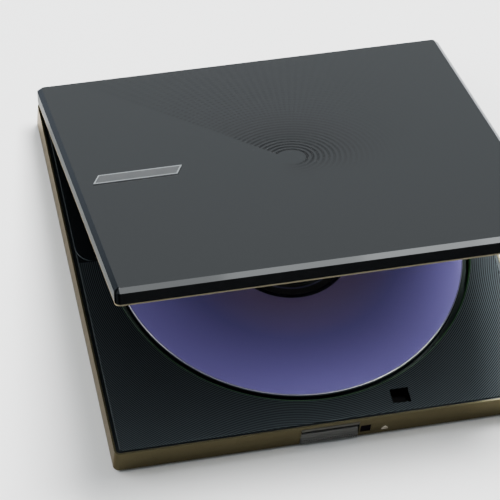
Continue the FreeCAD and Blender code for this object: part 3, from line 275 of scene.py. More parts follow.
@dataclass(frozen=True)
class MouldedPlastic:
    """Plastic with a fine spark-eroded grain and a faint mottle."""

    name: str
    colour: Colour
    roughness: float = 0.5
    gloss: float = 0.5
    grain_size: float = 0.35 * MM
    grain_depth: float = 0.02 * MM
    mottle_cells: float = 60.0

    def make(self) -> Material:
        """Return the material."""
        graph = Graph(self.name)
        grain = graph.noise(1.0 / self.grain_size, 2.0)
        mottle = graph.noise(self.mottle_cells, 2.0)
        shade = graph.blend(mottle, scaled(self.colour, 0.85), scaled(self.colour, 1.15))
        return graph.surface(Base_Color=shade, Roughness=grain * 0.12 + (self.roughness - 0.06),
                             Specular_IOR_Level=self.gloss, Normal=graph.bump(grain, self.grain_depth, 0.5))


@dataclass(frozen=True)
class ButtonPlastic:
    """The button's grey plastic, with a darker bronze-toned painted shade band at its top and a near-black
    painted shadow in the groove.
    """

    name: str = "button plastic"
    colour: Colour = (0.055, 0.055, 0.05)
    # painted shade: a darker bronze-toned band over the button's top, on plastic of one colour
    painted_top_shade: Colour = (0.026, 0.0245, 0.017)
    # painted shadow: near black in the grip's groove
    painted_groove_shadow: Colour = (0.003, 0.003, 0.003)
    groove_low: float = 7.3 * MM
    groove_high: float = 8.4 * MM
    grain_cells: float = 2900.0
    grain_depth: float = 0.02 * MM

    def make(self) -> Material:
        """Return the material."""
        graph = Graph(self.name)
        z = graph.axes()[2]
        grain = graph.noise(self.grain_cells, 2.0)
        # the groove band gets the painted shadow and the top band the painted shade; the plastic's own grey
        # shows below
        with_groove_shadow = graph.blend(z.step(self.groove_low), self.colour, self.painted_groove_shadow)
        return graph.surface(Base_Color=graph.blend(z.step(self.groove_high), with_groove_shadow, self.painted_top_shade),
                             Roughness=grain * 0.12 + 0.36, Specular_IOR_Level=0.25,
                             Normal=graph.bump(grain, self.grain_depth, 0.5))


@dataclass(frozen=True)
class Metal:
    """Metal with a fine even grain and a soft mottle of its polish."""

    name: str
    colour: Colour
    roughness: float
    extra_grain: float = 0.0
    grain_cells: float = 2500.0
    grain_depth: float = 0.004 * MM
    mottle_cells: float = 90.0

    def make(self) -> Material:
        """Return the material."""
        graph = Graph(self.name)
        grain = graph.noise(self.grain_cells, 2.0)
        mottle = graph.noise(self.mottle_cells, 3.0)
        shade = graph.blend(mottle, scaled(self.colour, 0.88), scaled(self.colour, 1.08))
        rough = grain * 0.1 + mottle * 0.08 + (self.roughness - 0.09)
        return graph.surface(Base_Color=shade, Metallic=1.0, Roughness=rough,
                             Normal=graph.bump(grain, self.grain_depth, 0.3 + self.extra_grain))


@dataclass(frozen=True)
class PlainFinish:
    """Two close colours mixed by one noise, which also varies the gloss and may raise a grain."""

    name: str
    colour: Colour
    second_colour: Colour
    cells: float
    roughness: float
    roughness_range: float
    detail: float = 2.0
    grain_depth: float = 0.0
    sockets: dict[str, float] = field(default_factory=dict)

    def make(self) -> Material:
        """Return the material."""
        graph = Graph(self.name)
        noise = graph.noise(self.cells, self.detail)
        if self.grain_depth > 0.0:
            graph.surface(Normal=graph.bump(noise, self.grain_depth, 0.5))
        return graph.surface(Base_Color=graph.blend(noise, self.colour, self.second_colour),
                             Roughness=noise * self.roughness_range + self.roughness, **self.sockets)


@dataclass(frozen=True)
class BronzeLacquer:
    """Dark bronze metallic lacquer with a fine flake."""

    name: str = "bronze lacquer"
    colour: Colour = (0.053, 0.048, 0.0275)
    grazing: Colour = (0.82, 0.72, 0.6)
    roughness: float = 0.3
    flake_cells: float = 5200.0
    mottle_cells: float = 35.0

    def make(self) -> Material:
        """Return the material."""
        graph = Graph(self.name)
        flake = graph.noise(self.flake_cells, 1.0)
        mottle = graph.noise(self.mottle_cells, 2.0)
        shade = graph.blend(flake * 0.7 + mottle * 0.3, self.colour, scaled(self.colour, 1.5))
        return graph.surface(Base_Color=shade, Metallic=1.0, Specular_Tint=(*self.grazing, 1.0),
                             Roughness=flake * 0.14 + (self.roughness - 0.07))


@dataclass(frozen=True)
class PolishedLid:
    """Polished black plastic with rings that break up into dots and fade outwards."""

    name: str = "polished lid"
    colour: Colour = (0.0028, 0.003, 0.0034)
    edge_colour: Colour = (0.004, 0.0045, 0.005)
    bevel_grazing: Colour = (0.63, 0.65, 0.68)
    wall_grazing: Colour = (0.33, 0.34, 0.34)
    edge_start: float = 70.5 * MM
    ring_pitch: float = 1.8 * MM
    first_ring: float = 5.5 * MM
    dots_round: float = 140.0
    dots_apart: Pair = (14.0 * MM, 34.0 * MM)
    pattern_edge: float = math.radians(128.4)
    edge_shift: float = 1.3 * MM
    fade_turn: Pair = (2.1, 4.4)
    strength: float = 0.85
    reach: float = 40.0 * MM
    reach_loss: float = 12.0 * MM
    least_reach: float = 4.0 * MM

    def make(self) -> Material:
        """Return the material."""
        graph = Graph(self.name)
        back = Matrix.Rotation(LID_OPEN, 3, "X")
        move = HINGE_POINT - back @ HINGE_POINT - RING_CENTRE
        x, y, z = graph.axes(move, LID_OPEN)
        dots = self._pattern(x, y) * z.step(-0.05 * MM) * self.strength
        dust = graph.noise(900.0, 2.0)
        side = (x + RING_CENTRE.x).math("ABSOLUTE").step(self.edge_start)
        wall = 1.0 - z.step(-LID_SLOPE_HEIGHT)
        graph.surface(Base_Color=self.colour, Roughness=dust * 0.02 + 0.05, Specular_IOR_Level=0.46)
        graph.layer(dots, Base_Color=self.colour, Roughness=0.6, Specular_IOR_Level=0.03)
        graph.layer(side, Base_Color=self.edge_colour, Metallic=1.0, Roughness=dust * 0.05 + 0.1,
                    Specular_Tint=(*self.bevel_grazing, 1.0))
        return graph.layer(side * wall, Base_Color=self.edge_colour, Metallic=1.0, Roughness=0.2,
                           Specular_Tint=(*self.wall_grazing, 1.0))

    def _pattern(self, x: Sock, y: Sock) -> Sock:
        """Return how strongly the dull rings and dots show at a place.

        Args:
            x: the place along X from the pattern's centre.
            y: the place along Y from the pattern's centre.

        Returns:
            A value from 0 to 1.
        """
        radius = (x * x + y * y).math("SQRT")
        ring = (radius - self.first_ring) / self.ring_pitch
        across = ((ring * math.tau).math("COSINE") * 0.5 + 0.5).ramp(0.2, 0.7)
        round_angle = y.math("ARCTAN2", x) * self.dots_round
        along = (round_angle.math("COSINE") * 0.5 + 0.5).ramp(0.25, 0.75)
        parted = radius.ramp(*self.dots_apart) * 0.85
        row = across * (1.0 - parted * (1.0 - along))
        inside = radius.step(self.first_ring - 0.5 * self.ring_pitch)
        turned = self._from_edge(y.math("ARCTAN2", x + self.edge_shift))
        reach = (turned * -self.reach_loss + self.reach).math("MAXIMUM", self.least_reach)
        fade = ((self.first_ring - radius) / reach).math("EXPONENT") * (1.0 - turned.ramp(*self.fade_turn))
        return row * inside * fade

    def _from_edge(self, angle: Sock) -> Sock:
        """Return how far, in radians, a place lies clockwise from the pattern's straight edge."""
        turned = (self.pattern_edge - angle).math("MODULO", math.tau)
        return (turned + math.tau).math("MODULO", math.tau)


@dataclass(frozen=True)
class DeckFinish:
    """Black deck: fine rings round the disc's axis in front, polished across the back."""

    name: str = "deck"
    colour: Colour = (0.0016, 0.0019, 0.0024)
    ridge_colour: Colour = (0.0045, 0.0054, 0.007)
    well_edge_colour: Colour = (0.02, 0.065, 0.018)
    well_colour: Colour = (0.02, 0.032, 0.021)
    tint: Colour = (0.8, 0.95, 1.0)
    ring_pitch: float = 0.635 * MM
    rings_back: float = 3.0 * MM
    rings_side: float = 70.0 * MM
    rings_low: float = 11.55 * MM
    well_span: Pair = (60.2 * MM, 62.6 * MM)
    well_edge_start: float = 61.9 * MM
    well_edge_low: float = 11.0 * MM
    grain_cells: float = 2600.0

    def make(self) -> Material:
        """Return the material."""
        graph = Graph(self.name)
        x, y, z = graph.axes()
        from_axis = x - DISC_CENTRE.x
        radius = (from_axis * from_axis + y * y).math("SQRT")
        ridge = radius.wave(self.ring_pitch).ramp(-0.6, 0.6)
        between_sides = 1.0 - x.math("ABSOLUTE").step(self.rings_side)
        textured = (1.0 - y.step(self.rings_back)) * z.step(self.rings_low) * between_sides
        grain = graph.noise(self.grain_cells, 2.0)
        well = radius.band(*self.well_span)
        well_edge = well * radius.step(self.well_edge_start) * z.step(self.well_edge_low)
        plain = graph.blend(well, self.colour, self.well_colour)
        shade = graph.blend(textured, plain, self.ridge_colour)
        graph.surface(Base_Color=graph.blend(well_edge, shade, self.well_edge_colour),
                      Specular_IOR_Level=0.33, Specular_Tint=(*self.tint, 1.0),
                      Roughness=textured * 0.3 + grain * 0.06 + 0.2)
        groove = (1.0 - ridge) * textured * (1.0 - well_edge)
        return graph.layer(groove, Base_Color=self.colour, Specular_IOR_Level=0.01, Roughness=0.6)


@dataclass(frozen=True)
class DiscFinish:
    """Recordable disc: purple dye with fine grooves, warmer near the middle, and a clear dark hub zone."""

    name: str = "recordable disc"
    dye: Colour = (0.222, 0.18, 0.53)
    warm_dye: Colour = (0.37, 0.265, 0.53)
    hub: Colour = (0.008, 0.007, 0.007)
    dye_start: Pair = (21.6 * MM, 21.8 * MM)
    dye_end: Pair = (59.7 * MM, 59.8 * MM)
    warm_end: Pair = (24.0 * MM, 38.0 * MM)
    groove_pitch: float = 0.35 * MM

    def make(self) -> Material:
        """Return the material."""
        graph = Graph(self.name)
        x, y = graph.axes(-DISC_CENTRE)[:2]
        radius = (x * x + y * y).math("SQRT")
        recorded = radius.ramp(*self.dye_start) * (1.0 - radius.ramp(*self.dye_end))
        groove = radius.ripple(self.groove_pitch)
        tone = graph.noise(25.0, 2.0)
        warm = 1.0 - radius.ramp(*self.warm_end)
        dye = graph.blend(tone * 0.4 + groove * 0.1, self.dye, scaled(self.dye, 0.8))
        shade = graph.blend(recorded, self.hub, graph.blend(warm, dye, self.warm_dye))
        return graph.surface(Base_Color=shade, Metallic=recorded * 0.6, Roughness=0.42 - recorded * 0.04,
                             Coat_Weight=0.6, Coat_Roughness=0.05)


@dataclass(frozen=True)
class CircuitBoard:
    """Solder mask with raised traces that run one way in some regions and across in others."""

    name: str = "circuit board"
    mask: Colour = (0.012, 0.075, 0.03)
    trace: Colour = (0.03, 0.16, 0.06)
    pitch_x: float = 1.3 * MM
    pitch_y: float = 1.7 * MM
    trace_height: float = 0.03 * MM

    def make(self) -> Material:
        """Return the material."""
        graph = Graph(self.name)
        x, y = graph.axes()[:2]
        trace_x = x.wave(self.pitch_x).step(0.55)
        trace_y = y.wave(self.pitch_y).step(0.6)
        region = graph.noise(120.0, 1.0).step(0.52)
        traces = trace_x * region + trace_y * (1.0 - region)
        shade = graph.blend(traces, self.mask, self.trace)
        return graph.surface(Base_Color=shade, Roughness=0.3,
                             Normal=graph.bump(traces, self.trace_height, 0.4))


@dataclass(frozen=True)
class FlatCable:
    """White flat cable with its conductors showing as faint stripes along it."""

    name: str = "flat cable"
    colour: Colour = (0.75, 0.74, 0.7)
    conductor: Colour = (0.5, 0.42, 0.3)
    pitch: float = 0.5 * MM

    def make(self) -> Material:
        """Return the material."""
        graph = Graph(self.name)
        x = graph.axes()[0]
        shade = graph.blend(x.ripple(self.pitch), self.colour, self.conductor)
        return graph.surface(Base_Color=shade, Roughness=0.35)


@dataclass(frozen=True)
class StudioFloor:
    """Plain pale floor."""

    name: str = "studio floor"
    colour: Colour = (0.9, 0.9, 0.895)

    def make(self) -> Material:
        """Return the material."""
        return Graph(self.name).surface(Base_Color=self.colour, Roughness=0.9)


class Finish(Enum):
    """The finishes, by what they are on the drive."""

    BRONZE = BronzeLacquer()
    LID = PolishedLid()
    DECK = DeckFinish()
    DISC = DiscFinish()
    INNER = MouldedPlastic("inner black plastic", (0.02, 0.02, 0.021))
    ACETAL = MouldedPlastic("black acetal", (0.0025, 0.0025, 0.0025), gloss=0.02)
    # the clear rim's lavender colour is partly the plastic's tint and partly a painted highlight, lighter
    # so that the rim line shows bright
    CLEAR_RIM = PlainFinish("clear rim", (0.13, 0.12, 0.21), scaled((0.13, 0.12, 0.21), 0.7), 500.0, 0.1,
                            0.05, sockets={"Specular_IOR_Level": 1.0, "Coat_Weight": 1.0,
                                           "Coat_Roughness": 0.08})
    TRIM = BronzeLacquer("bronze trim", (0.13, 0.115, 0.078), roughness=0.5)
    PRINT = MouldedPlastic("printed mark", (0.5, 0.46, 0.38), gloss=0.1)
    MIRROR = Metal("mirror band", (0.09, 0.085, 0.12), 0.12)
    POLISHED = Metal("polished badge edge", (0.8, 0.8, 0.8), 0.14)
    GILT = Metal("gilt contact", (0.83, 0.6, 0.25), 0.25)
    DARK_BOARD = CircuitBoard("dark circuit board", (0.002, 0.004, 0.003), (0.004, 0.009, 0.005))
    BUTTON = ButtonPlastic()
    CHIP = MouldedPlastic("chip package", (0.018, 0.018, 0.018), 0.55)
    CONNECTOR = MouldedPlastic("connector plastic", (0.62, 0.6, 0.52))
    LED = MouldedPlastic("indicator body", (0.6, 0.65, 0.6), 0.2)
    RUBBER = PlainFinish("black rubber", (0.02, 0.02, 0.021), (0.035, 0.035, 0.036), 1800.0, 0.65, 0.2,
                         detail=3.0, grain_depth=0.03 * MM)
    ZINC = Metal("zinc plated steel", (0.52, 0.53, 0.54), 0.34)
    GROUND = Metal("ground steel", (0.66, 0.67, 0.68), 0.2)
    CAST = Metal("die cast metal", (0.4, 0.41, 0.42), 0.46)
    BADGE = Metal("satin badge", (0.13, 0.132, 0.135), 0.34, 0.3)
    COPPER = Metal("copper winding", (0.6, 0.27, 0.12), 0.38)
    MAGNET = Metal("sintered magnet", (0.12, 0.12, 0.13), 0.5)
    BOARD = CircuitBoard()
    CABLE = FlatCable()
    WINDOW = PlainFinish("smoked window", (0.004, 0.003, 0.0038), (0.006, 0.0045, 0.0055), 1500.0, 0.06,
                         0.05, sockets={"Specular_IOR_Level": 0.0})
    LENS = PlainFinish("coated lens", (0.10, 0.08, 0.26), (0.16, 0.12, 0.36), 700.0, 0.03, 0.03,
                       sockets={"Transmission_Weight": 0.6, "IOR": 1.52})
    FLOOR = StudioFloor()

    def material(self) -> Material:
        """Return this finish's material, made at its first use."""
        return bpy.data.materials.get(self.value.name) or self.value.make()


NODE_FINISHES: dict[Finish, str] = {
    Finish.BRONZE: "base_shell",
    Finish.TRIM: "lid_trim",
    Finish.DECK: "deck_panel",
    Finish.LID: "lid_cover",
    Finish.BADGE: "lid_badge",
    Finish.DISC: "disc",
    Finish.INNER: "turntable hub_cap lens_holder lid_liner lid_hook hinge_bushes rod_holders",
    Finish.BUTTON: "eject_button",
    Finish.CHIP: "board_chips board_small_parts usb_tongue",
    Finish.CONNECTOR: "ribbon_connectors rack_follower",
    Finish.LED: "indicator_led",
    Finish.RUBBER: "rubber_feet dampers grip_ring lid_bumpers",
    Finish.ZINC: "case_screws board_screws damper_screws motor_screws usb_port traverse_plate "
                 "motor_base sled_motor screw_bracket rotor_cup",
    Finish.ACETAL: "latch_lever switch_plunger lid_switch",
    Finish.GROUND: "hinge_pins guide_rods spindle_shaft chuck_ball_1 chuck_ball_2 chuck_ball_3 "
                   "lead_screw button_springs lever_spring",
    Finish.CAST: "sled_carriage",
    Finish.COPPER: "stator_coils spindle_bearing laser_diode",
    Finish.MAGNET: "stator_core rotor_magnet actuator_magnets",
    Finish.BOARD: "main_board",
    Finish.DARK_BOARD: "front_board",
    Finish.CABLE: "motor_ribbon pickup_ribbon",
    Finish.WINDOW: "led_window",
    Finish.LENS: "objective_lens",
}


def dress_nodes() -> None:
    """Give every solid its finish."""
    left = set(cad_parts)
    for finish, names in NODE_FINISHES.items():
        for name in names.split():
            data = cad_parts[name].data
            data.materials.clear()
            data.materials.append(finish.material())
            left.remove(name)
    if left:
        LOG.warning("nodes without a finish: %s", sorted(left))


@dataclass(frozen=True)
class Helix:
    """The run of a coil: its axis, its mean radius, its turns and its length."""

    start: Vector
    along: Vector
    across: Vector
    radius: float
    turns: float
    length: float
    steps: int = 24


def spread(count: int, pitch: float) -> list[float]:
    """Return evenly spaced places about zero."""
    return [(index - (count - 1) / 2) * pitch for index in range(count)]


def round_section(radius: float, count: int = 8) -> Pairs:
    """Return a round wire's section as pairs about its centre."""
    turns = [math.tau * index / count for index in range(count)]
    return tuple((radius * math.cos(turn), radius * math.sin(turn)) for turn in turns)


def ring_section(inner: float, outer: float, low: float, high: float, slope: float) -> Pairs:
    """Return a low ring's section with sloped flanks, as (radius, height) pairs."""
    return ((inner, low), (inner + slope, high), (outer - slope, high), (outer, low))


@dataclass
class Piece:
    """A new mesh piece in the making."""

    name: str
    body: str
    finish: Finish
    slot: str
    mesh: bmesh.types.BMesh = field(default_factory=bmesh.new)

    def _loop(self, points: Points) -> tuple[list, list]:
        """Add a closed loop of vertices and edges."""
        verts = [self.mesh.verts.new(point) for point in points]
        edges = [self.mesh.edges.new(pair) for pair in zip(verts, verts[1:] + verts[:1])]
        return verts, edges

    def _push(self, faces: list, vector: Vector) -> None:
        """Extrude faces along a vector."""
        raised = bmesh.ops.extrude_face_region(self.mesh, geom=faces)
        moved = [item for item in raised["geom"] if isinstance(item, bmesh.types.BMVert)]
        bmesh.ops.translate(self.mesh, vec=vector, verts=moved)

    def _face(self, outline: Points) -> bmesh.types.BMFace:
        """Add one face with the given corners."""
        return self.mesh.faces.new([self.mesh.verts.new(point) for point in outline])

    def extruded(self, outline: Points, push: Vector) -> None:
        """Add a prism: an outline pushed along a vector."""
        self._push([self._face(outline)], push)

    def frame(self, outline: Points, width: float, push: Vector) -> None:
        """Add a raised frame along the inside of an outline.

        Args:
            outline: the frame's outer corners.
            width: the frame's width.
            push: which way it stands, and how high.
        """
        face = self._face(outline)
        face.normal_update()
        ring = bmesh.ops.inset_region(self.mesh, faces=[face], thickness=width, use_boundary=True,
                                      use_even_offset=True)
        bmesh.ops.delete(self.mesh, geom=[face], context="FACES")
        self._push(ring["faces"], push)

    def turned(self, profile: Pairs, centre: Vector, steps: int = 96) -> None:
        """Add a ring: a closed outline turned once about an upright axis.

        Args:
            profile: the outline as (radius, height) pairs.
            centre: a point of the axis, from which the heights count.
            steps: how many steps the turn has.
        """
        verts, edges = self._loop([centre + Vector((radius, 0.0, height)) for radius, height in profile])
        bmesh.ops.spin(self.mesh, geom=verts + edges, cent=centre, axis=AXIS_Z, angle=math.tau,
                       steps=steps, use_merge=True)

    def coil(self, section: Pairs, helix: Helix) -> None:
        """Add a helix of the given section, with its ends closed.

        Args:
            section: (outwards, along) pairs about the helix's mean line.
            helix: the run of the helix.
        """
        start = helix.start + helix.across * helix.radius
        verts, edges = self._loop([start + helix.across * out + helix.along * up for out, up in section])
        count = round(helix.turns * helix.steps)
        bmesh.ops.spin(self.mesh, geom=verts + edges, cent=helix.start, axis=helix.along, steps=count,
                       dvec=helix.along * (helix.length / count), angle=math.tau * helix.turns)
        ends = [edge for edge in self.mesh.edges if edge.is_boundary]
        bmesh.ops.holes_fill(self.mesh, edges=ends, sides=len(section))

    def finish_piece(self, smooth: bool = True) -> Object:
        """Turn the bmesh into an object that rides on its body.

        The lid's pieces are drawn on the shut lid and are turned here to the open position.

        Args:
            smooth: whether its faces are shaded smooth.

        Returns:
            The new object.
        """
        if self.body == "lid":
            bmesh.ops.transform(self.mesh, matrix=LID_TURN, verts=self.mesh.verts)
        bmesh.ops.recalc_face_normals(self.mesh, faces=self.mesh.faces)
        data = mesh_data(self.name, self.mesh)
        if smooth:
            data.shade_smooth()
        data.materials.append(self.finish.material())
        made = in_scene(self.name, data)
        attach(made, self.body)
        LOG.info("%s: %d faces", self.name, len(data.polygons))
        return made


@dataclass
class FrontMarks:
    """The printed open symbol beside the indicator."""

    centre_x: float = 18.9 * MM
    low_z: float = 3.2 * MM
    width: float = 2.2 * MM
    height: float = 1.9 * MM
    bar_height: float = 0.4 * MM
    gap: float = 0.35 * MM
    front_y: float = -72.0 * MM
    thickness: float = 0.03 * MM

    def build(self) -> None:
        """Make the symbol: a triangle over a bar."""
        piece = Piece("open_symbol", "base", Finish.PRINT, "badge_metal")
        half = self.width / 2
        bar_top = self.low_z + self.bar_height
        arrow_low = bar_top + self.gap
        arrow = ((-half, arrow_low), (half, arrow_low), (0.0, self.low_z + self.height))
        bar = ((-half, self.low_z), (half, self.low_z), (half, bar_top), (-half, bar_top))
        for outline in (arrow, bar):
            corners = [Vector((self.centre_x + x, self.front_y, z)) for x, z in outline]
            piece.extruded(corners, AXIS_Y * -self.thickness)
        piece.finish_piece(smooth=False)


@dataclass
class DiscDetails:
    """The disc's rounded clear rim and the rings of its hub zone."""

    top: float = 10.7 * MM
    rim_centre: Pair = (59.70 * MM, 10.38 * MM)
    rim_round: float = 0.36 * MM
    stacking_ring: Pair = (17.4 * MM, 18.1 * MM)
    mirror_band: Pair = (20.3 * MM, 21.5 * MM)
    ring_height: float = 0.03 * MM
    ring_slope: float = 0.12 * MM
    arc_start: float = 110.0
    arc_step: float = 14.0
    arc_points: int = 13

    def build(self) -> None:
        """Make the pieces."""
        rim = Piece("disc_rim", "disc", Finish.CLEAR_RIM, "disc_purple")
        middle, height = self.rim_centre
        turns = [math.radians(self.arc_start - self.arc_step * index) for index in range(self.arc_points)]
        arc = [(middle + self.rim_round * math.cos(turn), height + self.rim_round * math.sin(turn))
               for turn in turns]
        inner_corner = (middle - 0.25 * MM, height - 0.3 * MM)
        rim.turned((*arc, inner_corner), DISC_CENTRE, 192)
        rim.finish_piece()
        self._ring("disc_stacking_ring", self.stacking_ring, Finish.CLEAR_RIM)
        self._ring("disc_mirror_band", self.mirror_band, Finish.MIRROR)

    def _ring(self, name: str, radii: Pair, finish: Finish) -> None:
        """Lay one low flat ring on the disc.

        Args:
            name: the piece's name.
            radii: its inner and outer radius.
            finish: its finish.
        """
        piece = Piece(name, "disc", finish, "disc_purple")
        high = self.top + self.ring_height
        section = ring_section(*radii, self.top - 0.02 * MM, high, self.ring_slope)
        piece.turned(section, DISC_CENTRE, 144)
        piece.finish_piece(smooth=False)


@dataclass
class SpringSet:
    """The real coils of the button's springs and of the lever's spring."""

    button_x: float = 6.9 * MM
    button_z: float = 4.6 * MM
    front_y: float = -70.66 * MM
    wall_y: float = -65.42 * MM
    button_radius: float = 1.1 * MM
    button_wire: float = 0.19 * MM
    button_turns: float = 6.5
    button_travel: float = 1.5 * MM
    lever_start: Triple = (16.5 * MM, -66.5 * MM, 7.38 * MM)
    lever_radius: float = 1.92 * MM
    lever_wire: float = 0.17 * MM
    lever_turns: float = 3.0
    lever_length: float = 1.09 * MM

    def build(self) -> None:
        """Make the pieces."""
        length = self.wall_y - self.front_y
        coils = Piece("button_coils", "base", Finish.GROUND, "ground_steel")
        for side in (-1, 1):
            start = Vector((side * self.button_x, self.front_y + self.button_wire, self.button_z))
            run = Helix(start, AXIS_Y, AXIS_Z, self.button_radius, self.button_turns,
                        length - 2 * self.button_wire, 20)
            coils.coil(round_section(self.button_wire), run)
        made = coils.finish_piece()
        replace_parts(made, "button_springs")
        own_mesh(made)
        lever = Piece("lever_coil", "base", Finish.GROUND, "ground_steel")
        run = Helix(Vector(self.lever_start), AXIS_Z, AXIS_X, self.lever_radius, self.lever_turns,
                    self.lever_length, 28)
        lever.coil(round_section(self.lever_wire), run)
        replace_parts(lever.finish_piece(), "lever_spring")


@dataclass
class ScrewThread:
    """The raised thread of the lead screw."""

    start: Triple = (-58.6 * MM, -25.5 * MM, 5.8 * MM)
    radius: float = 1.0 * MM
    lead: float = 3.0 * MM
    turns: float = 15.5
    crest: float = 0.07 * MM
    root: float = -0.06 * MM
    half_width: float = 0.75 * MM
    flank: float = 0.2 * MM

    def build(self) -> None:
        """Make the piece."""
        piece = Piece("screw_thread", "lead_screw", Finish.GROUND, "ground_steel")
        half_crest = self.half_width - self.flank
        section = ((self.root, -self.half_width), (self.crest, -half_crest),
                   (self.crest, half_crest), (self.root, self.half_width))
        start = Vector(self.start) + AXIS_X * self.half_width
        run = Helix(start, AXIS_X, AXIS_Z, self.radius, self.turns, self.turns * self.lead)
        piece.coil(section, run)
        piece.finish_piece(smooth=False)


@dataclass
class BoardDetails:
    """The chips' bent legs, the small parts' tinned ends and the connectors' contacts.

    Chips are given as x, y, width and depth, and small parts with a height too. These numbers and
    those of the contacts and the legs are millimetres.
    """

    board_top: float = 4.0 * MM
    chips: tuple = ((-20.0, 52.0, 14.0, 14.0), (18.0, 50.0, 10.0, 10.0), (-42.0, 46.0, 9.0, 7.0))
    small_parts: tuple = ((34.0, 44.0, 5.0, 3.4, 1.4), (46.0, 50.0, 6.0, 3.5, 1.8),
                          (-34.0, 60.0, 3.2, 1.6, 1.2), (-4.0, 60.0, 3.2, 1.6, 1.2),
                          (4.0, 42.0, 2.0, 1.2, 0.9), (-8.0, 42.0, 2.0, 1.2, 0.9))
    connector_x: tuple = (-23.6, 11.0)
    contacts: int = 12
    contact_pitch: float = 1.0
    contact_width: float = 0.4
    leg_pitch: float = 0.65
    leg_width: float = 0.26
    leg_shape: Pairs = ((-0.05, 0.62), (0.3, 0.62), (0.5, 0.06), (0.95, 0.06), (0.95, 0.2), (0.6, 0.2),
                        (0.4, 0.76), (-0.05, 0.76))

    def build(self) -> None:
        """Make the pieces."""
        legs = Piece("chip_legs", "base", Finish.ZINC, "zinc_steel")
        for x, y, width, depth in self.chips:
            for turn in range(4):
                out, run = (depth, width) if turn % 2 == 0 else (width, depth)
                self._row(legs, Vector((x, y, 0.0)), turn * math.pi / 2, out / 2, run)
        legs.finish_piece(smooth=False)
        ends = Piece("tinned_ends", "base", Finish.ZINC, "zinc_steel")
        for x, y, width, depth, height in self.small_parts:
            for side in (-1, 1):
                self._end(ends, Vector((x + side * width / 2, y, 0.0)), side, depth, height)
        ends.finish_piece(smooth=False)
        pins = Piece("connector_pins", "base", Finish.GILT, "ground_steel")
        for x in self.connector_x:
            for offset in spread(self.contacts, self.contact_pitch):
                self._pin(pins, x + offset)
        pins.finish_piece(smooth=False)

    def _row(self, piece: Piece, centre: Vector, turn: float, out: float, run: float) -> None:
        """Add one side's row of legs.

        Args:
            piece: the piece that takes the legs.
            centre: the chip's middle.
            turn: which side of the chip, as an angle.
            out: how far that side is from the middle.
            run: how long that side is.
        """
        spin = Matrix.Rotation(turn, 3, "Z")
        base = AXIS_Z * self.board_top
        count = int((run - 1.0) / self.leg_pitch)
        for middle in spread(count, self.leg_pitch):
            offset = middle - self.leg_width / 2
            outline = [(centre + spin @ Vector((offset, out + away, up))) * MM + base
                       for away, up in self.leg_shape]
            piece.extruded(outline, spin @ (AXIS_X * (self.leg_width * MM)))

    def _end(self, piece: Piece, place: Vector, side: int, depth: float, height: float) -> None:
        """Add one tinned end, a cap round a small part's end with a solder toe.

        Args:
            piece: the piece that takes the end.
            place: the middle of the part's end.
            side: 1 for the right end and -1 for the left.
            depth: the part's depth.
            height: the part's height.
        """
        shape = ((-0.45, 0.0), (0.4, 0.0), (0.06, 0.5), (0.06, height + 0.05), (-0.45, height + 0.05))
        outline = [Vector(((place.x + side * away) * MM, (place.y - depth / 2 - 0.05) * MM,
                           self.board_top + up * MM)) for away, up in shape]
        piece.extruded(outline, AXIS_Y * ((depth + 0.1) * MM))

    def _pin(self, piece: Piece, x: float) -> None:
        """Add one contact of a flat-cable connector."""
        shape = ((37.55, 0.02), (38.4, 0.02), (38.4, 0.16), (37.9, 0.2), (37.7, 0.6), (37.55, 0.6))
        left = (x - self.contact_width / 2) * MM
        outline = [Vector((left, y * MM, self.board_top + up * MM)) for y, up in shape]
        piece.extruded(outline, AXIS_X * (self.contact_width * MM))


@dataclass
class PortDetails:
    """The contacts on the port's tongue."""

    centre_x: float = 34.0 * MM
    tongue_low: float = 5.55 * MM
    pitch: float = 0.8 * MM
    width: float = 0.34 * MM
    count: int = 5

    def build(self) -> None:
        """Make the piece."""
        piece = Piece("port_contacts", "base", Finish.GILT, "ground_steel")
        low, high = self.tongue_low - 0.05 * MM, self.tongue_low + 0.01 * MM
        shape = ((66.0 * MM, low), (69.6 * MM, low), (69.9 * MM, high), (66.0 * MM, high))
        for offset in spread(self.count, self.pitch):
            left = self.centre_x + offset - self.width / 2
            piece.extruded([Vector((left, y, z)) for y, z in shape], AXIS_X * self.width)
        piece.finish_piece(smooth=False)


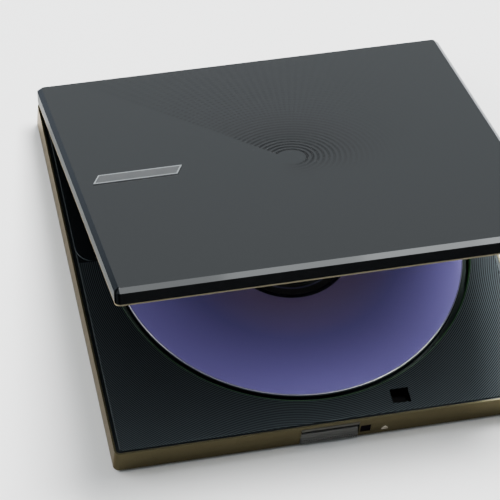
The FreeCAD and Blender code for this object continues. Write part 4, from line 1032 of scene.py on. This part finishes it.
@dataclass
class LiningDetails:
    """The lid's inner panel: its low guard ring, its spokes and its heat-staked posts."""

    panel_low: float = 12.6 * MM
    guard_ring: Pair = (57.0 * MM, 58.6 * MM)
    hub_ring: Pair = (11.4 * MM, 12.4 * MM)
    height: float = 0.3 * MM
    slope: float = 0.25 * MM
    spokes: int = 12
    posts: tuple = ((-60.0, -60.0), (0.0, -66.0), (60.0, -60.0), (-60.0, 60.0), (60.0, 60.0))
    post_radius: float = 1.5 * MM

    def build(self) -> None:
        """Make the pieces."""
        rings = Piece("lining_rings", "lid", Finish.INNER, "inner_black")
        for radii in (self.guard_ring, self.hub_ring):
            section = ring_section(*radii, self.panel_low + 0.05 * MM, self.panel_low - self.height,
                                   self.slope)
            rings.turned(section, DISC_CENTRE, 144)
        rings.finish_piece(smooth=False)
        spokes = Piece("lining_spokes", "lid", Finish.INNER, "inner_black")
        for index in range(self.spokes):
            self._spoke(spokes, math.tau * (index + 0.5) / self.spokes)
        spokes.finish_piece(smooth=False)
        domes = Piece("lining_stakes", "lid", Finish.INNER, "inner_black")
        for x, y in self.posts:
            self._stake(domes, Vector((x * MM, y * MM, self.panel_low)))
        domes.finish_piece()

    def _spoke(self, piece: Piece, turn: float) -> None:
        """Add one radial rib between the two rings."""
        spin = Matrix.Rotation(turn, 3, "Z")
        shape = ((-0.45, 0.05), (-0.25, -0.22), (0.25, -0.22), (0.45, 0.05))
        start = self.hub_ring[1] - 0.2 * MM
        outline = [DISC_CENTRE + spin @ Vector((start, across * MM, self.panel_low + up * MM))
                   for across, up in shape]
        reach = self.guard_ring[0] + 0.2 * MM - start
        piece.extruded(outline, spin @ (AXIS_X * reach))

    def _stake(self, piece: Piece, place: Vector) -> None:
        """Add one heat-staked post's flattened dome."""
        radius = self.post_radius
        piece.turned(((0.2 * radius, 0.05 * MM), (0.2 * radius, -0.28 * MM), (0.6 * radius, -0.26 * MM),
                      (0.9 * radius, -0.16 * MM), (radius, 0.05 * MM)), place, 24)


@dataclass
class PlateDetails:
    """The badge's polished border and the bare label place under the case."""

    badge_centre: Pair = (-50.6 * MM, -0.8 * MM)
    badge_half: Pair = (14.0 * MM, 2.7 * MM)
    badge_lean: float = 1.3 * MM
    badge_top: float = 17.7 * MM
    label_half: Pair = (29.0 * MM, 14.0 * MM)
    label_y: float = 6.0 * MM
    case_bottom: float = 0.6 * MM

    def build(self) -> None:
        """Make the pieces."""
        x, y = self.badge_centre
        half, rise = self.badge_half
        lean = self.badge_lean
        border = Piece("badge_border", "lid", Finish.POLISHED, "badge_metal")
        corners = ((x - half - lean, y - rise), (x + half - lean, y - rise),
                   (x + half + lean, y + rise), (x - half + lean, y + rise))
        outline = [Vector((px, py, self.badge_top - 0.01 * MM)) for px, py in corners]
        border.frame(outline, 0.4 * MM, AXIS_Z * (0.07 * MM))
        border.finish_piece(smooth=False)
        wide, deep = self.label_half
        label = Piece("label_frame", "base", Finish.BRONZE, "case_bronze")
        corners = ((-wide, -deep), (wide, -deep), (wide, deep), (-wide, deep))
        outline = [Vector((px, self.label_y + py, self.case_bottom + 0.01 * MM)) for px, py in corners]
        label.frame(outline, 0.6 * MM, AXIS_Z * (-0.13 * MM))
        label.finish_piece(smooth=False)


@dataclass
class PickupDetails:
    """The lens's collar and the two focus windings on the lens holder."""

    lens_x: float = -21.6 * MM
    holder_top: float = 7.5 * MM
    collar: Pair = (2.25 * MM, 3.1 * MM)
    winding_y: float = 5.3 * MM
    winding_half: Pair = (3.1 * MM, 0.85 * MM)
    winding_z: float = 6.45 * MM

    def build(self) -> None:
        """Make the pieces."""
        inner, outer = self.collar
        low, high = self.holder_top - 0.05 * MM, self.holder_top + 0.25 * MM
        collar = Piece("lens_collar", "lens", Finish.INNER, "inner_black")
        collar.turned(((inner, low), (inner, high - 0.1 * MM), (inner + 0.15 * MM, high),
                       (outer - 0.25 * MM, high), (outer, low)), Vector((self.lens_x, 0.0, 0.0)), 48)
        collar.finish_piece()
        windings = Piece("focus_windings", "lens", Finish.COPPER, "copper_wire")
        wide, tall = self.winding_half
        cut = 0.5 * MM
        shape = ((-wide + cut, -tall), (wide - cut, -tall), (wide, cut - tall), (wide, tall - cut),
                 (wide - cut, tall), (cut - wide, tall), (-wide, tall - cut), (-wide, cut - tall))
        for side in (-1, 1):
            outline = [Vector((self.lens_x + x, side * self.winding_y, self.winding_z + z))
                       for x, z in shape]
            windings.frame(outline, 0.55 * MM, AXIS_Y * (side * 0.5 * MM))
        windings.finish_piece(smooth=False)


@dataclass
class HubDetails:
    """The bead round the hub's dimple."""

    dimple_ring: Pair = (3.3 * MM, 3.9 * MM)
    top: float = 12.4 * MM

    def build(self) -> None:
        """Make the piece."""
        piece = Piece("hub_bead", "spindle", Finish.INNER, "inner_black")
        section = ring_section(*self.dimple_ring, self.top - 0.02 * MM, self.top + 0.1 * MM, 0.12 * MM)
        piece.turned(section, DISC_CENTRE, 72)
        piece.finish_piece()


@dataclass
class Studio:
    """The floor, the lights and the camera."""

    lens_mm: float = 221.907
    azimuth: float = -19.165434
    elevation: float = 55.423240
    roll: float = 8.321720
    distance: float = 1055.629414 * MM
    target: Triple = (-9.392450 * MM, 6.384047 * MM, 0.6 * MM)
    floor_half: float = 0.32
    overhead_edges: tuple[float, ...] = (-0.57, 0.06, 0.13, 0.19, 0.53)
    overhead_radiances: tuple[float, ...] = (4.2, 6.5, 9.0, 11.0)
    overhead_y: float = -0.12
    overhead_height: float = 0.62
    overhead_depth: float = 0.52
    overhead_colour: Colour = (0.93, 0.98, 1.0)
    sky_colour: Colour = (0.88, 0.96, 1.0)

    def build(self) -> None:
        """Make the studio."""
        self._floor()
        self._lights()
        self._world()
        self._camera()

    def _floor(self) -> None:
        """Lay a plain floor."""
        mesh = bmesh.new()
        bmesh.ops.create_grid(mesh, x_segments=1, y_segments=1, size=self.floor_half)
        data = mesh_data("floor", mesh)
        data.materials.append(Finish.FLOOR.material())
        floor = in_scene("floor", data)

    def _area(self, name: str, place: Vector, aim: Vector, size: Pair, power: float,
              colour: Colour = (1.0, 1.0, 1.0)) -> Object:
        """Hang one area light.

        Args:
            name: the light's name.
            place: where it hangs.
            aim: the point that it faces.
            size: its two sides.
            power: its power in watts.
            colour: its colour.

        Returns:
            The light's object.
        """
        lamp = bpy.data.lights.new(name, "AREA")
        lamp.shape = "RECTANGLE"
        lamp.size, lamp.size_y = size
        lamp.energy = power
        lamp.color = colour
        holder = in_scene(name, lamp)
        holder.location = place
        holder.rotation_euler = (aim - place).to_track_quat("-Z", "Y").to_euler()
        return holder

    def _lights(self) -> None:
        """Hang a high key light behind on the right, a fill, and panels that only gloss mirrors."""
        middle = Vector((0.0, 0.0, 0.03))
        self._area("key_panel", Vector((0.22, 0.36, 1.1)), middle, (0.45, 0.3), 44.0)
        self._area("left_fill", Vector((-0.85, 0.2, 0.8)), middle, (0.8, 0.7), 9.0)
        sheen = self._area("right_sheen", Vector((0.85, 0.42, 0.85)), middle, (0.9, 0.7), 1.5)
        near = self._area("near_sheen", Vector((0.17, -0.09, 0.22)), Vector((0.05, -0.07, 0.012)),
                          (0.18, 0.14), 1.15)
        for panel in (sheen, near, *self._overhead()):
            panel.visible_diffuse = False

    def _overhead(self) -> list[Object]:
        """Hang a row of panels overhead that grow brighter to the right, and return them."""
        panels = []
        edges = self.overhead_edges
        for index, radiance in enumerate(self.overhead_radiances):
            left, right = edges[index], edges[index + 1]
            place = Vector(((left + right) / 2, self.overhead_y, self.overhead_height))
            size = (right - left, self.overhead_depth)
            power = math.pi * radiance * size[0] * size[1]
            below = place - AXIS_Z * self.overhead_height
            name = f"overhead_{index + 1}"
            panels.append(self._area(name, place, below, size, power, self.overhead_colour))
        return panels

    def _world(self) -> None:
        """Surround the scene with a pale backdrop that is dark in front."""
        world = bpy.data.worlds.new("studio")
        bpy.context.scene.world = world
        world.use_nodes = True
        tree = world.node_tree
        tree.nodes.clear()
        coords = tree.nodes.new("ShaderNodeTexCoord")
        parts = tree.nodes.new("ShaderNodeSeparateXYZ")
        ramp = tree.nodes.new("ShaderNodeMapRange")
        limits = {"From Min": -0.5, "From Max": 0.6, "To Min": 0.12, "To Max": 0.86}
        for key, value in limits.items():
            ramp.inputs[key].default_value = value
        background = tree.nodes.new("ShaderNodeBackground")
        background.inputs["Color"].default_value = (*self.sky_colour, 1.0)
        output = tree.nodes.new("ShaderNodeOutputWorld")
        tree.links.new(coords.outputs["Generated"], parts.inputs[0])
        tree.links.new(parts.outputs["Y"], ramp.inputs["Value"])
        tree.links.new(ramp.outputs["Result"], background.inputs["Strength"])
        tree.links.new(background.outputs[0], output.inputs[0])

    def _camera(self) -> None:
        """Place the camera by its azimuth, elevation, roll and distance."""
        azimuth, elevation, roll = map(math.radians, (self.azimuth, self.elevation, self.roll))
        level = math.cos(elevation)
        back = Vector((math.sin(azimuth) * level, -math.cos(azimuth) * level, math.sin(elevation)))
        turn = back.to_track_quat("Z", "Y").to_matrix().to_4x4() @ Matrix.Rotation(roll, 4, "Z")
        lens = bpy.data.cameras.new("camera")
        lens.sensor_width = 36.0
        lens.lens = self.lens_mm
        lens.clip_end = 20.0
        camera = in_scene("camera", lens)
        camera.matrix_world = Matrix.Translation(Vector(self.target) + back * self.distance) @ turn
        bpy.context.scene.camera = camera


def main() -> None:
    """Dress the drive and set the studio."""
    logging.basicConfig(level=logging.INFO, format="%(message)s")
    dress_nodes()
    for details in (FrontMarks, DiscDetails, SpringSet, ScrewThread, BoardDetails, PortDetails,
                    LiningDetails, PlateDetails, PickupDetails, HubDetails):
        details().build()
    Studio().build()


if __name__ == "__main__":
    main()
